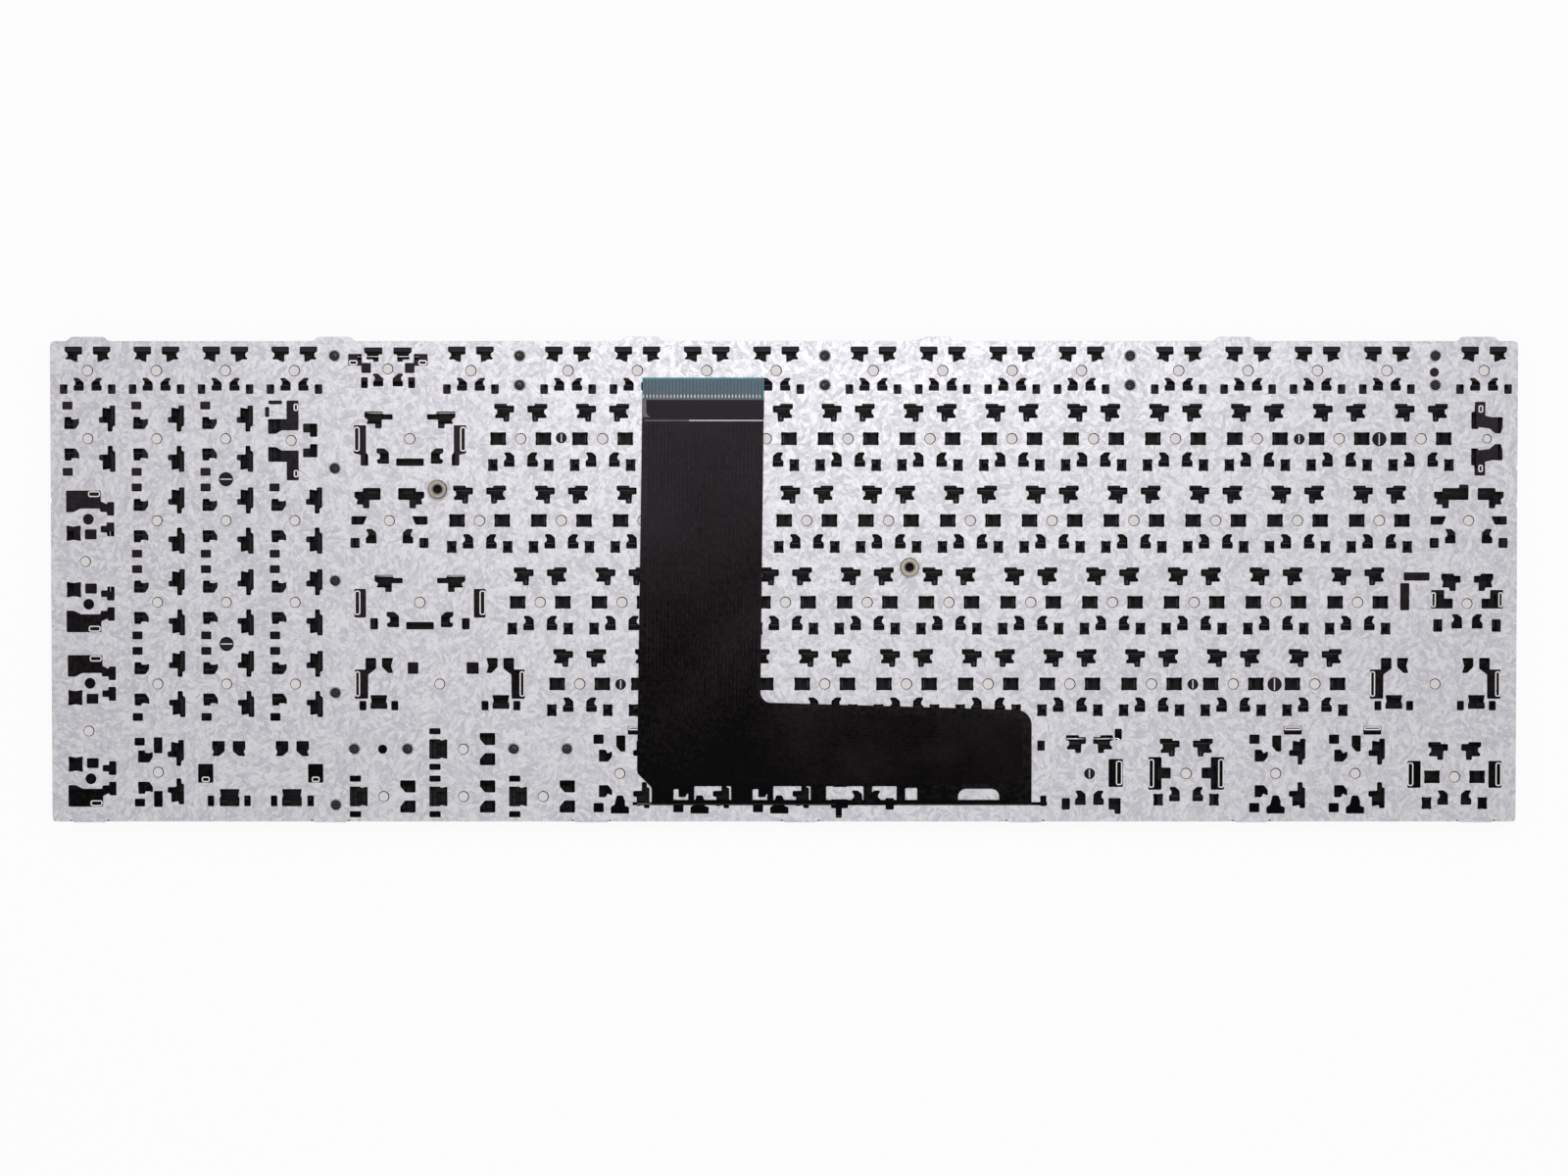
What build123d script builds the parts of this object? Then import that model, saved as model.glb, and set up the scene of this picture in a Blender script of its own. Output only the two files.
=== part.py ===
from build123d import *
import math
import os
from collections import namedtuple

# A laptop replacement keyboard lying face down: keycaps on the floor, steel back plate up.
# Seen from the back, +X is the Escape side and +Y the function-row side. Millimetres.

# Key bands: the ground that each key takes up, the gap to its neighbours included
key_pitch = 19.0
key_gap = 3.0
function_pitch = 16.1
function_group_gap = 6.45
function_depth = 12.6
bottom_depth = 22.7
pad_pitch = 16.0
pad_gap = 2.5
grave_width = 11.7
backspace_width = 32.5
tab_width = 21.3
caps_width = 26.25
left_shift_width = 36.1
control_width = 26.9
fn_width = 18.5
alt_width = 23.2
space_width = 73.8
delete_width = 22.4

# Room between the key bands and the edges of the plate
right_margin = 1.25
left_margin = 0.75
top_margin = 0.6
bottom_margin = 0.1

# The stack from the floor up: caps, travel, three films, plate
cap_height = 2.3
cap_top = 1.0
cap_wall = 1.0
cap_corner = 1.2
cap_edge = 0.35
key_travel = 1.8
press_gap = 0.2
film_thickness = 0.1
plate_thickness = 0.4

# Moulded frame around the caps
bezel_depth_below_caps = 2.0
bezel_thickness = 1.2
bezel_inset = 0.3
bezel_rim = 0.7
cap_clearance = 0.4
opening_corner = 1.5

# Heat stakes of the frame, melted into countersunk holes of the plate
stake_radius = 1.0
stake_head_radius = 1.2
countersink_ring = 0.4
stake_clearance = 0.1
stake_pair_spread = 3.4
stake_arrow_spread = 6.2

# Rubber domes: the base on the film, the nib under the cap
dome_base_radius = 3.0
small_dome_radius = 2.1
dome_nib_radius = 0.8
dome_nib_length = 1.2
dome_flange = 0.3
dome_wall = 0.5

# Folding links between cap and plate, and the lugs under the cap that hold them
link_thickness = 0.8
link_side = 1.4
link_bar = 0.7
link_clearance = 0.1
link_side_gap = 0.4
widest_link = 13.2
wide_link = 20.0
medium_link = 16.0
twin_link = 8.5
twin_inset = 7.1
space_link_inset = 9.4
caps_link_shift = 2.8
lug_thickness = 0.8
lug_length = 2.5
lug_height = 1.0
lug_gap = 0.15

# Steel stabiliser wires under the long caps
wire_diameter = 0.8
wire_gap = 0.1
wire_bend = 0.9
wire_leg_run = 5.5
wire_foot = 0.7
wire_foot_bend = 0.42
stabiliser_slot_width = 2.6
stabiliser_slot_length = 6.5
stabiliser_slot_share = 3

# Back plate: edge tabs, notches, corner radius and the two threaded standoffs
plate_corner = 1.2
tab_rise = 1.0
tab_base = 9.6
tab_tip = 7.7
notch_depth = 0.5
notch_width = 1.0
notch_pair_spread = 4.25
tab_runs = (70.1, 137.6, 207.6)
notch_runs = (58.3, 106.9, 159.2, 211.9)
standoff_radius = 2.2
standoff_height = 2.0
standoff_shank_radius = 1.6
thread_radius = 1.0
standoff_shifts = (0.8, 0.3)
standoff_rises = (7.3, 8.2)
standoff_film_gap = 0.4
standoff_chamfer = 0.125

# Circuit films and the folded tail
film_inset = 1.4
film_window_gap = 0.4
tail_gap = 0.2
tail_right_x = 57.6
tail_left_x = -34.2
tail_ribbon_left_x = -32.8
tail_ribbon_width = 28.2
tail_ribbon_lean = 0.9
tail_band_rise = 23.3
tail_band_drop = 1.8
tail_length = 98.75
tail_fold_inset = 4.7
tail_slit_width = 0.9
tail_corner = 3.6
tail_inner_corner = 2.5
tail_chamfer = 3.4
tail_shoulder = 3.5
tail_shoulder_corner = 1.5
tail_window_low = 0.6
tail_window_corner = 0.3
tail_window_arch = 1.9
tail_windows = (
    (-25.7, -22.3, 3.1, tail_window_corner),
    (-20.9, -12.3, 3.8, tail_window_corner),
    (-7.3, -3.9, 3.1, tail_window_corner),
    (-2.5, 6.2, 3.8, tail_window_corner),
    (9.8, 18.5, 3.8, tail_window_corner),
    (20.5, 26.2, 3.8, tail_window_corner),
    (28.2, 31.0, 3.4, tail_window_corner),
    (40.5, 50.1, 3.2, tail_window_arch),
)
stiffener_length = 10.0
stiffener_thickness = 0.15
stiffener_inset = 0.2

# The key field, measured from the middle of the plate
letter_count = 12
field_width = grave_width + letter_count * key_pitch + backspace_width
pad_width = 4 * pad_pitch
plate_width = right_margin + field_width + pad_gap + pad_width + left_margin
plate_depth = top_margin + function_depth + 4 * key_pitch + bottom_depth + bottom_margin
plate_y = -tab_rise / 2
x_right = plate_width / 2 - right_margin
x_left = x_right - field_width
x_pad = x_left - pad_gap
y_top = plate_y + plate_depth / 2 - top_margin
y_function = y_top - function_depth / 2
y_number = y_top - function_depth - key_pitch / 2
y_q = y_number - key_pitch
y_a = y_q - key_pitch
y_z = y_a - key_pitch
y_bottom = y_z - (key_pitch + bottom_depth) / 2
arrow_width = (field_width - control_width - 2 * fn_width - alt_width - space_width) / 6

# Heights in the stack
z_film = cap_height + key_travel + press_gap
z_plate = z_film + 3 * film_thickness
z_back = z_plate + plate_thickness
z_bezel = bezel_depth_below_caps
z_link_low = cap_top + link_clearance
z_link_high = z_film - link_clearance
z_tail = z_back + tail_gap

Key = namedtuple("Key", "name x y w d kind group")


def row(bands, y, depth, group):
    """Keys of one row, from the Escape side leftwards: (name, band width, kind) each."""
    keys = []
    edge = x_right
    for name, width, kind in bands:
        own_group = None if kind in ("letter", "space") else group
        keys.append(Key(name, edge - width / 2, y, width - key_gap, depth - key_gap, kind, own_group))
        edge -= width
    return keys


def letters(names):
    return [(name, key_pitch, "letter") for name in names.split()]


def main_block():
    left_over = field_width - letter_count * key_pitch
    number_row = [("grave", grave_width, "grave")]
    number_row += letters("1 2 3 4 5 6 7 8 9 0 minus equals")
    number_row += [("backspace", backspace_width, "wide")]
    q_row = [("tab", tab_width, "medium")]
    q_row += letters("q w e r t y u i o p left_bracket right_bracket")
    q_row += [("backslash", left_over - tab_width, "medium")]
    a_row = [("caps", caps_width, "caps")]
    a_row += letters("a s d f g h j k l semicolon quote")
    a_row += [("enter", left_over + key_pitch - caps_width, "wide")]
    z_row = [("left_shift", left_shift_width, "twin")]
    z_row += letters("z x c v b n m comma period slash")
    z_row += [("right_shift", left_over + 2 * key_pitch - left_shift_width, "twin")]
    bottom_row = [
        ("left_control", control_width, "control"),
        ("fn", fn_width, "pad"),
        ("system", fn_width, "pad"),
        ("left_alt", alt_width, "alt"),
        ("space", space_width, "space"),
        ("right_alt", arrow_width, "pad"),
        ("menu", arrow_width, "pad"),
        ("right_control", arrow_width, "pad"),
    ]
    keys = row(number_row, y_number, key_pitch, "edge")
    keys += row(q_row, y_q, key_pitch, "edge")
    keys += row(a_row, y_a, key_pitch, "edge")
    keys += row(z_row, y_z, key_pitch, "edge")
    keys += row(bottom_row, y_bottom, bottom_depth, "edge")
    return keys


def arrow_keys():
    half = bottom_depth / 2
    columns = {"left": 2.5, "down": 1.5, "up": 1.5, "right": 0.5}
    keys = []
    for name, column in columns.items():
        x = x_left + column * arrow_width
        y = y_bottom + (half if name == "up" else -half) / 2
        keys.append(Key("arrow_" + name, x, y, arrow_width - key_gap, half - key_gap, "arrow", "edge"))
    return keys


def function_keys():
    width = function_pitch - key_gap
    depth = function_depth - key_gap
    keys = []
    for i in range(4):
        x = x_pad - (i + 0.5) * pad_pitch
        keys.append(Key("pad_function", x, y_function, pad_pitch - key_gap, depth, "function", "function"))
    x = x_left + delete_width / 2
    keys.append(Key("delete", x, y_function, delete_width - key_gap, depth, "delete", "function"))
    x += (delete_width + function_pitch) / 2
    keys.append(Key("insert", x, y_function, width, depth, "function", "function"))
    for group in (4, 4, 4, 1):
        x += function_group_gap
        for i in range(group):
            x += function_pitch
            keys.append(Key("function", x, y_function, width, depth, "function", "function"))
    return keys


def number_pad():
    width = pad_pitch - key_gap
    depth = key_pitch - key_gap
    columns = [x_pad - (i + 0.5) * pad_pitch for i in range(4)]
    keys = [Key("pad_top", x, y_number, width, depth, "pad", "pad") for x in columns]
    for y in (y_q, y_a, y_z):
        keys += [Key("pad_digit", x, y, width, depth, "pad", "pad") for x in columns[:3]]
    wide = (columns[0] + columns[1]) / 2
    bottom = bottom_depth - key_gap
    keys.append(Key("pad_zero", wide, y_bottom, 2 * pad_pitch - key_gap, bottom, "twin", "pad"))
    keys.append(Key("pad_point", columns[2], y_bottom, width, bottom, "pad", "pad"))
    plus_y = (y_q + y_a) / 2
    keys.append(Key("pad_plus", columns[3], plus_y, width, 2 * key_pitch - key_gap, "tall", "pad"))
    enter_y = y_z + key_pitch / 2 - (key_pitch + bottom_depth) / 2
    enter_depth = key_pitch + bottom_depth - key_gap
    keys.append(Key("pad_enter", columns[3], enter_y, width, enter_depth, "tall", "pad"))
    return keys


keys = main_block() + arrow_keys() + function_keys() + number_pad()
by_name = {key.name: key for key in keys}

TURNED = ("pad", "arrow", "grave", "tall")
SMALL_DOME = ("function", "delete", "arrow", "grave")
WIRED = ("wide", "twin", "space", "control", "delete", "tall")


# Slots of the plate under one link: the outlines of the left half, with the hooks at +y.
# Each set is drawn for the cap size (along the link, across it) that follows it.
def box_outline(x0, x1, y0, y1):
    return [(x0, y0), (x1, y0), (x1, y1), (x0, y1)]


LETTER_HOOK = [(-6.0, 8.0), (-5.8, 3.9), (-2.7, 3.9), (-2.7, 5.8), (-1.6, 5.8), (-1.6, 8.0)]
LETTER_LATCH = [(-3.9, -6.5), (-1.5, -6.5), (-1.5, -4.0), (-2.5, -3.2), (-3.8, -3.2)]
SLOTS = {
    "letter": ([LETTER_HOOK, LETTER_LATCH, box_outline(-6.9, -3.5, -1.4, 1.4)], (16.0, 16.0)),
    "alt": ([LETTER_HOOK, LETTER_LATCH, box_outline(-8.7, -3.8, -2.6, 2.6)], (20.2, 16.0)),
    "space": ([LETTER_HOOK, LETTER_LATCH], (18.8, 16.0)),
    "function": (
        [
            [(-5.2, 5.5), (-5.0, 2.6), (-2.4, 2.3), (-2.4, 3.8), (-1.3, 3.8), (-1.3, 5.5)],
            [(-3.2, -4.6), (-0.95, -4.6), (-0.95, -2.8), (-2.2, -1.7), (-3.2, -1.7)],
        ],
        (13.1, 9.6),
    ),
    "pad": (
        [
            [(-7.6, 6.3), (-7.2, 3.4), (-3.7, 2.6), (-3.7, 4.6), (-1.7, 4.6), (-1.7, 5.8), (-3.0, 6.3)],
            [(-5.0, -5.4), (-2.3, -5.4), (-2.3, -2.9), (-3.5, -2.1), (-4.9, -2.8)],
        ],
        (16.0, 13.0),
    ),
    "medium": (
        [
            [(-8.1, 5.0), (-8.1, 3.0), (-4.4, 3.0), (-2.2, 4.2), (-2.2, 7.5), (-6.2, 7.5)],
            [(-5.5, -4.9), (-2.9, -4.9), (-2.9, -2.2), (-5.5, -2.2)],
            [(-8.7, -0.9), (-5.4, -0.9), (-5.2, 1.0), (-8.3, 1.0)],
        ],
        (19.0, 16.0),
    ),
    "caps": (
        [
            [(-6.0, 6.9), (-6.0, 4.2), (-3.2, 3.6), (-1.6, 5.0), (-1.6, 6.9)],
            [(-3.6, -5.8), (-1.0, -5.8), (-1.0, -3.4), (-2.2, -2.6), (-3.6, -2.6)],
            [(-8.2, 3.0), (-8.2, 0.6), (-6.2, -1.0), (-3.5, -1.0), (-3.5, 1.2), (-6.4, 3.0)],
        ],
        (23.2, 16.0),
    ),
    "wide": (
        [
            [(-10.6, 6.2), (-10.6, 3.4), (-7.4, 2.4), (-4.1, 3.4), (-4.1, 6.2)],
            [(-7.9, -5.8), (-4.9, -5.8), (-4.9, -3.2), (-6.0, -2.2), (-7.9, -2.2)],
        ],
        (16.0, 16.0),
    ),
    "twin": (
        [
            [(-3.3, 5.9), (-3.3, 2.3), (-0.8, 2.3), (-0.8, 5.9)],
            [(-1.9, -5.8), (-0.3, -5.8), (-0.3, -2.7), (-1.9, -3.4)],
        ],
        (16.0, 16.0),
    ),
    "arrow": (
        [
            [(-3.7, 7.2), (-3.7, 4.6), (-2.6, 3.8), (-1.0, 3.8), (-1.0, 7.2)],
            [(-2.3, -3.9), (-2.3, -7.8), (-0.25, -7.8), (-0.25, -3.9)],
        ],
        (8.2, 15.5),
    ),
    "grave": (
        [
            [(-8.5, -0.5), (-8.5, -2.8), (-6.1, -3.6), (-2.3, -3.6), (-2.6, 0.5), (-1.3, 1.9), (-1.3, 3.1),
             (-5.0, 3.5), (-5.0, 1.1), (-5.3, -0.5)],
        ],
        (16.0, 8.7),
    ),
    "tall": (
        [
            [(-16.4, -4.8), (-11.5, -4.8), (-12.3, -1.5), (-12.3, 3.0), (-10.7, 4.7), (-10.7, 6.2),
             (-13.7, 6.2), (-13.9, 3.2), (-16.4, 3.2)],
            box_outline(-8.3, -4.8, -4.7, -1.5),
            box_outline(-7.4, -5.2, -0.4, 2.2),
            box_outline(-9.0, -5.9, 3.2, 6.2),
        ],
        (35.0, 13.0),
    ),
}
SLOTS["control"] = SLOTS["letter"]
SLOTS["delete"] = SLOTS["function"]
FIXED_LINK = {"wide": wide_link, "medium": medium_link, "twin": twin_link}
FIXED_SCALE = ("wide", "twin", "space", "control", "delete")


def along_across(key):
    """Cap size along the link and across it."""
    if key.kind in TURNED:
        return key.d, key.w
    return key.w, key.d


def link_length(key):
    along = along_across(key)[0]
    most = FIXED_LINK.get(key.kind, widest_link)
    return min(along - 2 * cap_wall - 2 * link_side_gap, most)


def wire_heights():
    """Heights of the middle of a wire's bar, under the cap, and of its feet, near the film."""
    return cap_top + wire_gap + wire_diameter / 2, z_film - wire_gap - wire_diameter / 2


def wire_play(key):
    """How far the bar comes towards the cap's wall when a press lays the legs flat."""
    if key.kind == "delete":
        return 0.0
    bar_z, foot_z = wire_heights()
    return math.hypot(wire_leg_run, foot_z - bar_z) - wire_leg_run


def wire_room(key):
    """What the bar of a stabiliser wire takes of the space inside the cap's wall."""
    return wire_diameter + 2 * wire_gap + wire_play(key) if key.kind in WIRED else 0.0


def link_reach(key):
    """From the middle of the link to the end of its arms."""
    across = along_across(key)[1]
    return across / 2 - cap_wall - lug_thickness - 2 * lug_gap - wire_room(key)


def link_places(key):
    """Middles of the links of one key."""
    if key.kind == "twin":
        shift = key.w / 2 - twin_inset
    elif key.kind == "space":
        shift = key.w / 2 - space_link_inset
    elif key.kind == "caps":
        return [(key.x + caps_link_shift, key.y)]
    else:
        return [(key.x, key.y)]
    return [(key.x - shift, key.y), (key.x + shift, key.y)]


def dome_place(key):
    """Middle of the dome: in the key's only link, or between its two."""
    places = link_places(key)
    return places[0] if len(places) == 1 else (key.x, key.y)


def turn(point, key):
    """From the link's own directions to the keyboard's."""
    x, y = point
    return (y, -x) if key.kind in TURNED else (x, y)


def dome_radius(key):
    return small_dome_radius if key.kind in SMALL_DOME else dome_base_radius


def key_slots(key):
    """Outlines of the plate's slots under one key."""
    drawn, (drawn_along, drawn_across) = SLOTS[key.kind]
    along, across = along_across(key)
    scale_y = across / drawn_across
    scale_x = scale_y if key.kind in FIXED_SCALE else along / drawn_along
    outlines = []
    for left in drawn:
        right = [(-x, y) for x, y in reversed(left)]
        for outline in (left, right):
            for mx, my in link_places(key):
                turned = [turn((x * scale_x, y * scale_y), key) for x, y in outline]
                outlines.append([(mx + x, my + y) for x, y in turned])
    return outlines


def stabiliser_slots(key):
    """Boxes (x0, x1, y0, y1) of the plate's slots over the feet of one key's wire."""
    if key.kind not in WIRED or key.kind == "tall":
        return []
    half = stabiliser_slot_width / 2
    length = min(stabiliser_slot_length, key.d / stabiliser_slot_share)
    middles = [key.x - wire_half(key), key.x + wire_half(key)]
    return [(x - half, x + half, key.y - length / 2, key.y + length / 2) for x in middles]


def key_windows(key):
    """Outlines of the windows of the films around one key's dome and links."""
    across = along_across(key)[1]
    windows = []
    half = link_length(key) / 2 + film_window_gap
    low = dome_radius(key) + film_window_gap
    high = max(across / 2 - film_window_gap, low + film_window_gap)
    side = min(low, link_reach(key)) / 2
    for mx, my in link_places(key):
        boxes = [box_outline(-half, half, low, high), box_outline(-half, half, -high, -low)]
        if key.kind in ("letter", "control", "alt", "caps", "medium"):
            boxes += [box_outline(low, half, -side, side), box_outline(-half, -low, -side, side)]
        for outline in boxes:
            windows.append([(mx + x, my + y) for x, y in (turn(p, key) for p in outline)])
    return windows


def polygon_wire(points, z):
    return Wire.make_polygon([(x, y, z) for x, y in points], close=True)


def circle_wire(x, y, radius, z):
    return Wire.make_circle(radius, Plane((x, y, z)))


def sheet(outline, holes, thickness):
    """A flat sheet: an outline with holes, pushed up by its thickness."""
    return Solid.extrude(Face(outline, holes), Vector(0, 0, thickness))


def block(x0, x1, y0, y1, z0, z1):
    size = (x1 - x0, y1 - y0, z1 - z0)
    return Location((x0, y0, z0)) * Solid.make_box(*size)


# Places of stakes and standoffs, between the keys
def stake_places():
    places = []
    row_keys = sorted((key for key in keys if key.group == "function" and key.x > x_left), key=lambda k: k.x)
    for left, right in zip(row_keys, row_keys[1:]):
        if right.x - left.x > function_pitch + function_group_gap / 2 and left.name != "delete":
            x = (left.x + right.x) / 2
            places += [(x, y_function - stake_pair_spread), (x, y_function + stake_pair_spread)]
    gap_x = (x_left + x_pad) / 2
    low = y_bottom - bottom_depth / 4 - stake_pair_spread / 2
    high = y_function + stake_pair_spread
    places += [(gap_x, low + i * (high - low) / 4) for i in range(5)]
    y = by_name["arrow_up"].y
    for name in ("arrow_left", "arrow_right"):
        x = by_name[name].x
        places += [(x - stake_arrow_spread, y), (x + stake_arrow_spread, y)]
    return places


def standoff_places():
    pairs = (("backslash", "right_bracket", y_q), ("j", "h", y_a))
    places = []
    for (left, right, y), shift, rise in zip(pairs, standoff_shifts, standoff_rises):
        x = (by_name[left].x + by_name[right].x) / 2
        places.append((x + shift, y + rise))
    return places


stakes = stake_places()
standoffs = standoff_places()
fold_y = plate_y - plate_depth / 2 + tail_fold_inset


def plate_outline():
    """Rounded rectangle with tabs along the top edge and pairs of notches along the bottom edge."""
    half_x = plate_width / 2
    top = plate_y + plate_depth / 2
    bottom = plate_y - plate_depth / 2
    tab_x = [x_pad - pad_width + pad_pitch / 2, (x_left + x_pad) / 2]
    tab_x += [x_left + run for run in tab_runs]
    tab_x += [x_right - function_pitch / 2]
    notch_x = [x_pad - pad_width + pad_pitch / 2, x_left - pad_gap]
    notch_x += [x_left + run for run in notch_runs]
    notch_x += [x_right - function_pitch / 2]
    points = [(-half_x, bottom)]
    for middle in notch_x:
        for x in (middle - notch_pair_spread, middle + notch_pair_spread):
            points += [(x - notch_width / 2, bottom), (x, bottom + notch_depth), (x + notch_width / 2, bottom)]
    points += [(half_x, bottom), (half_x, top)]
    for middle in reversed(tab_x):
        points += [(middle + tab_base / 2, top), (middle + tab_tip / 2, top + tab_rise)]
        points += [(middle - tab_tip / 2, top + tab_rise), (middle - tab_base / 2, top)]
    points.append((-half_x, top))
    wire = polygon_wire(points, z_plate)
    corners = [v for v in wire.vertices() if abs(abs(v.X) - half_x) < plate_corner / 2]
    return wire.fillet_2d(plate_corner, corners)


def back_plate():
    holes = [polygon_wire(outline, z_plate) for key in keys for outline in key_slots(key)]
    holes += [circle_wire(x, y, standoff_shank_radius, z_plate) for x, y in standoffs]
    plate = sheet(plate_outline(), holes, plate_thickness)
    cuts = []
    low = stake_radius + stake_clearance
    high = stake_head_radius + countersink_ring
    for x, y in stakes:
        cuts.append(Location((x, y, z_plate)) * Solid.make_cone(low, high, plate_thickness))
    left = tail_left_x - tail_slit_width / 2
    right = tail_right_x + tail_slit_width / 2
    cuts.append(block(left, right, fold_y - tail_slit_width, fold_y, z_plate, z_back))
    for key in keys:
        cuts += [block(*box, z_plate, z_back) for box in stabiliser_slots(key)]
    return plate.cut(*cuts)


def threaded_standoffs():
    """Round posts with a shank pressed through the plate and a threaded bore."""
    posts = []
    for x, y in standoffs:
        post = Location((x, y, z_back)) * Solid.make_cylinder(standoff_radius, standoff_height)
        shank = Location((x, y, z_plate)) * Solid.make_cylinder(standoff_shank_radius, plate_thickness)
        length = standoff_height + plate_thickness
        bore = Location((x, y, z_plate)) * Solid.make_cylinder(thread_radius, length)
        post = post.fuse(shank).cut(bore)
        rim = [e for e in post.edges().filter_by(GeomType.CIRCLE) if e.center().Z > z_back + standoff_height / 2]
        posts.append(post.chamfer(standoff_chamfer, None, rim))
    return posts


def film(z, holes_gap):
    """One flat film with windows for the links and holes for stakes and standoffs."""
    half_x = plate_width / 2 - film_inset
    half_y = plate_depth / 2 - film_inset
    outline = box_outline(-half_x, half_x, plate_y - half_y, plate_y + half_y)
    holes = [polygon_wire(window, z) for key in keys for window in key_windows(key)]
    holes += [circle_wire(x, y, stake_radius + holes_gap, z) for x, y in stakes]
    holes += [circle_wire(x, y, standoff_shank_radius + holes_gap, z) for x, y in standoffs]
    return sheet(polygon_wire(outline, z), holes, film_thickness)


def nearest_vertex(wire, point):
    return min(wire.vertices(), key=lambda v: math.hypot(v.X - point[0], v.Y - point[1]))


def tail_outline(z):
    """The tail lying on the plate: a wide band along the fold and a ribbon that leaves its left end."""
    right = tail_ribbon_left_x + tail_ribbon_width
    band_corner = (tail_right_x, fold_y + tail_band_rise - tail_band_drop)
    ribbon_corner = (right - tail_ribbon_lean, fold_y + tail_band_rise)
    shoulder_low = (tail_left_x + tail_chamfer, fold_y + tail_shoulder)
    shoulder_high = (tail_left_x, fold_y + tail_shoulder + tail_chamfer)
    points = [
        (tail_left_x + tail_chamfer, fold_y),
        (tail_right_x, fold_y),
        band_corner,
        ribbon_corner,
        (right, fold_y + tail_length),
        (tail_ribbon_left_x, fold_y + tail_length),
        shoulder_high,
        shoulder_low,
    ]
    wire = polygon_wire(points, z)
    wire = wire.fillet_2d(tail_corner, [nearest_vertex(wire, band_corner)])
    wire = wire.fillet_2d(tail_inner_corner, [nearest_vertex(wire, ribbon_corner)])
    for corner in (shoulder_low, shoulder_high):
        wire = wire.fillet_2d(tail_shoulder_corner, [nearest_vertex(wire, corner)])
    return wire


def tail_window(left, right, high, corner, z):
    """A window near the fold, with rounded upper corners, which leaves the plate's slots bare."""
    wire = polygon_wire(box_outline(left, right, fold_y + tail_window_low, fold_y + high), z)
    upper = [v for v in wire.vertices() if v.Y > fold_y + (tail_window_low + high) / 2]
    return wire.fillet_2d(corner, upper)


def lower_circuit_film():
    """The film next to the plate; its tail folds round the slit and lies on the back of the plate."""
    z = z_plate - film_thickness
    flat = film(z, standoff_film_gap)
    edge = plate_y - plate_depth / 2
    clear = block(tail_left_x, tail_right_x, edge, fold_y, z, z_plate)
    windows = [tail_window(*window, z_tail) for window in tail_windows]
    tail = sheet(tail_outline(z_tail), windows, film_thickness)
    middle = (z_plate + z_tail) / 2
    inner = (z_tail - z_plate) / 2
    outer = inner + film_thickness
    start = tail_left_x + tail_chamfer
    profile = [Edge.make_line((start, fold_y, middle - outer), (start, fold_y, middle - inner))]
    profile.append(Edge.make_three_point_arc(
        (start, fold_y, middle - inner), (start, fold_y - inner, middle), (start, fold_y, middle + inner)))
    profile.append(Edge.make_line((start, fold_y, middle + inner), (start, fold_y, middle + outer)))
    profile.append(Edge.make_three_point_arc(
        (start, fold_y, middle + outer), (start, fold_y - outer, middle), (start, fold_y, middle - outer)))
    fold = Solid.extrude(Face(Wire(profile)), Vector(tail_right_x - start, 0, 0))
    return flat.cut(clear).fuse(fold, tail)


def tail_stiffener():
    end = fold_y + tail_length
    left = tail_ribbon_left_x + stiffener_inset
    right = tail_ribbon_left_x + tail_ribbon_width - stiffener_inset
    return block(left, right, end - stiffener_length, end, z_tail - stiffener_thickness, z_tail)


def rounded_box(w, d, z0, z1, corner):
    face = Face(Wire.make_polygon(
        [(-w / 2, -d / 2, z0), (w / 2, -d / 2, z0), (w / 2, d / 2, z0), (-w / 2, d / 2, z0)], close=True))
    solid = Solid.extrude(face, Vector(0, 0, z1 - z0))
    return solid.fillet(corner, solid.edges().filter_by(Axis.Z))


def bezel_frame():
    """Moulded grille around the caps, with a rim up to the plate and stakes through it."""
    half_x = plate_width / 2 - bezel_inset
    half_y = plate_depth / 2 - bezel_inset
    outer = box_outline(-half_x, half_x, plate_y - half_y, plate_y + half_y)
    openings = []
    for key in keys:
        w = key.w + 2 * cap_clearance
        d = key.d + 2 * cap_clearance
        opening = RectangleRounded(w, d, opening_corner).wire()
        openings.append(Location((key.x, key.y, z_bezel)) * opening)
    grille = sheet(polygon_wire(outer, z_bezel), openings, bezel_thickness)
    z_grille = z_bezel + bezel_thickness
    inner = box_outline(-half_x + bezel_rim, half_x - bezel_rim,
                        plate_y - half_y + bezel_rim, plate_y + half_y - bezel_rim)
    rim = sheet(polygon_wire(outer, z_grille), [polygon_wire(inner, z_grille)], z_plate - z_grille)
    pieces = [rim]
    for x, y in stakes:
        pieces.append(Location((x, y, z_grille)) * Solid.make_cylinder(stake_radius, z_plate - z_grille))
        pieces.append(Location((x, y, z_plate)) * Solid.make_cone(stake_radius, stake_head_radius, plate_thickness))
    return grille.fuse(*pieces)


def cap(key):
    """One cap about the origin: a shell with rounded edges and lugs for its links."""
    shell = rounded_box(key.w, key.d, 0, cap_height, cap_corner)
    face_edges = [e for e in shell.edges() if abs(e.center().Z) < cap_edge / 2]
    shell = shell.fillet(cap_edge, face_edges)
    inner_corner = max(cap_corner - cap_wall, cap_wall / 4)
    hollow = rounded_box(key.w - 2 * cap_wall, key.d - 2 * cap_wall, cap_top, cap_height, inner_corner)
    shell = shell.cut(hollow)
    reach = link_reach(key) + lug_gap
    lugs = []
    for mx, my in link_places(key):
        for side in (-1, 1):
            for end in (-1, 1):
                middle = side * link_length(key) / 4
                corner_a = turn((middle - lug_length / 2, end * reach), key)
                corner_b = turn((middle + lug_length / 2, end * (reach + lug_thickness)), key)
                xs = sorted((corner_a[0], corner_b[0]))
                ys = sorted((corner_a[1], corner_b[1]))
                x = mx - key.x
                lugs.append(block(x + xs[0], x + xs[1], ys[0], ys[1], cap_top, cap_top + lug_height))
    return shell.fuse(*lugs)


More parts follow.
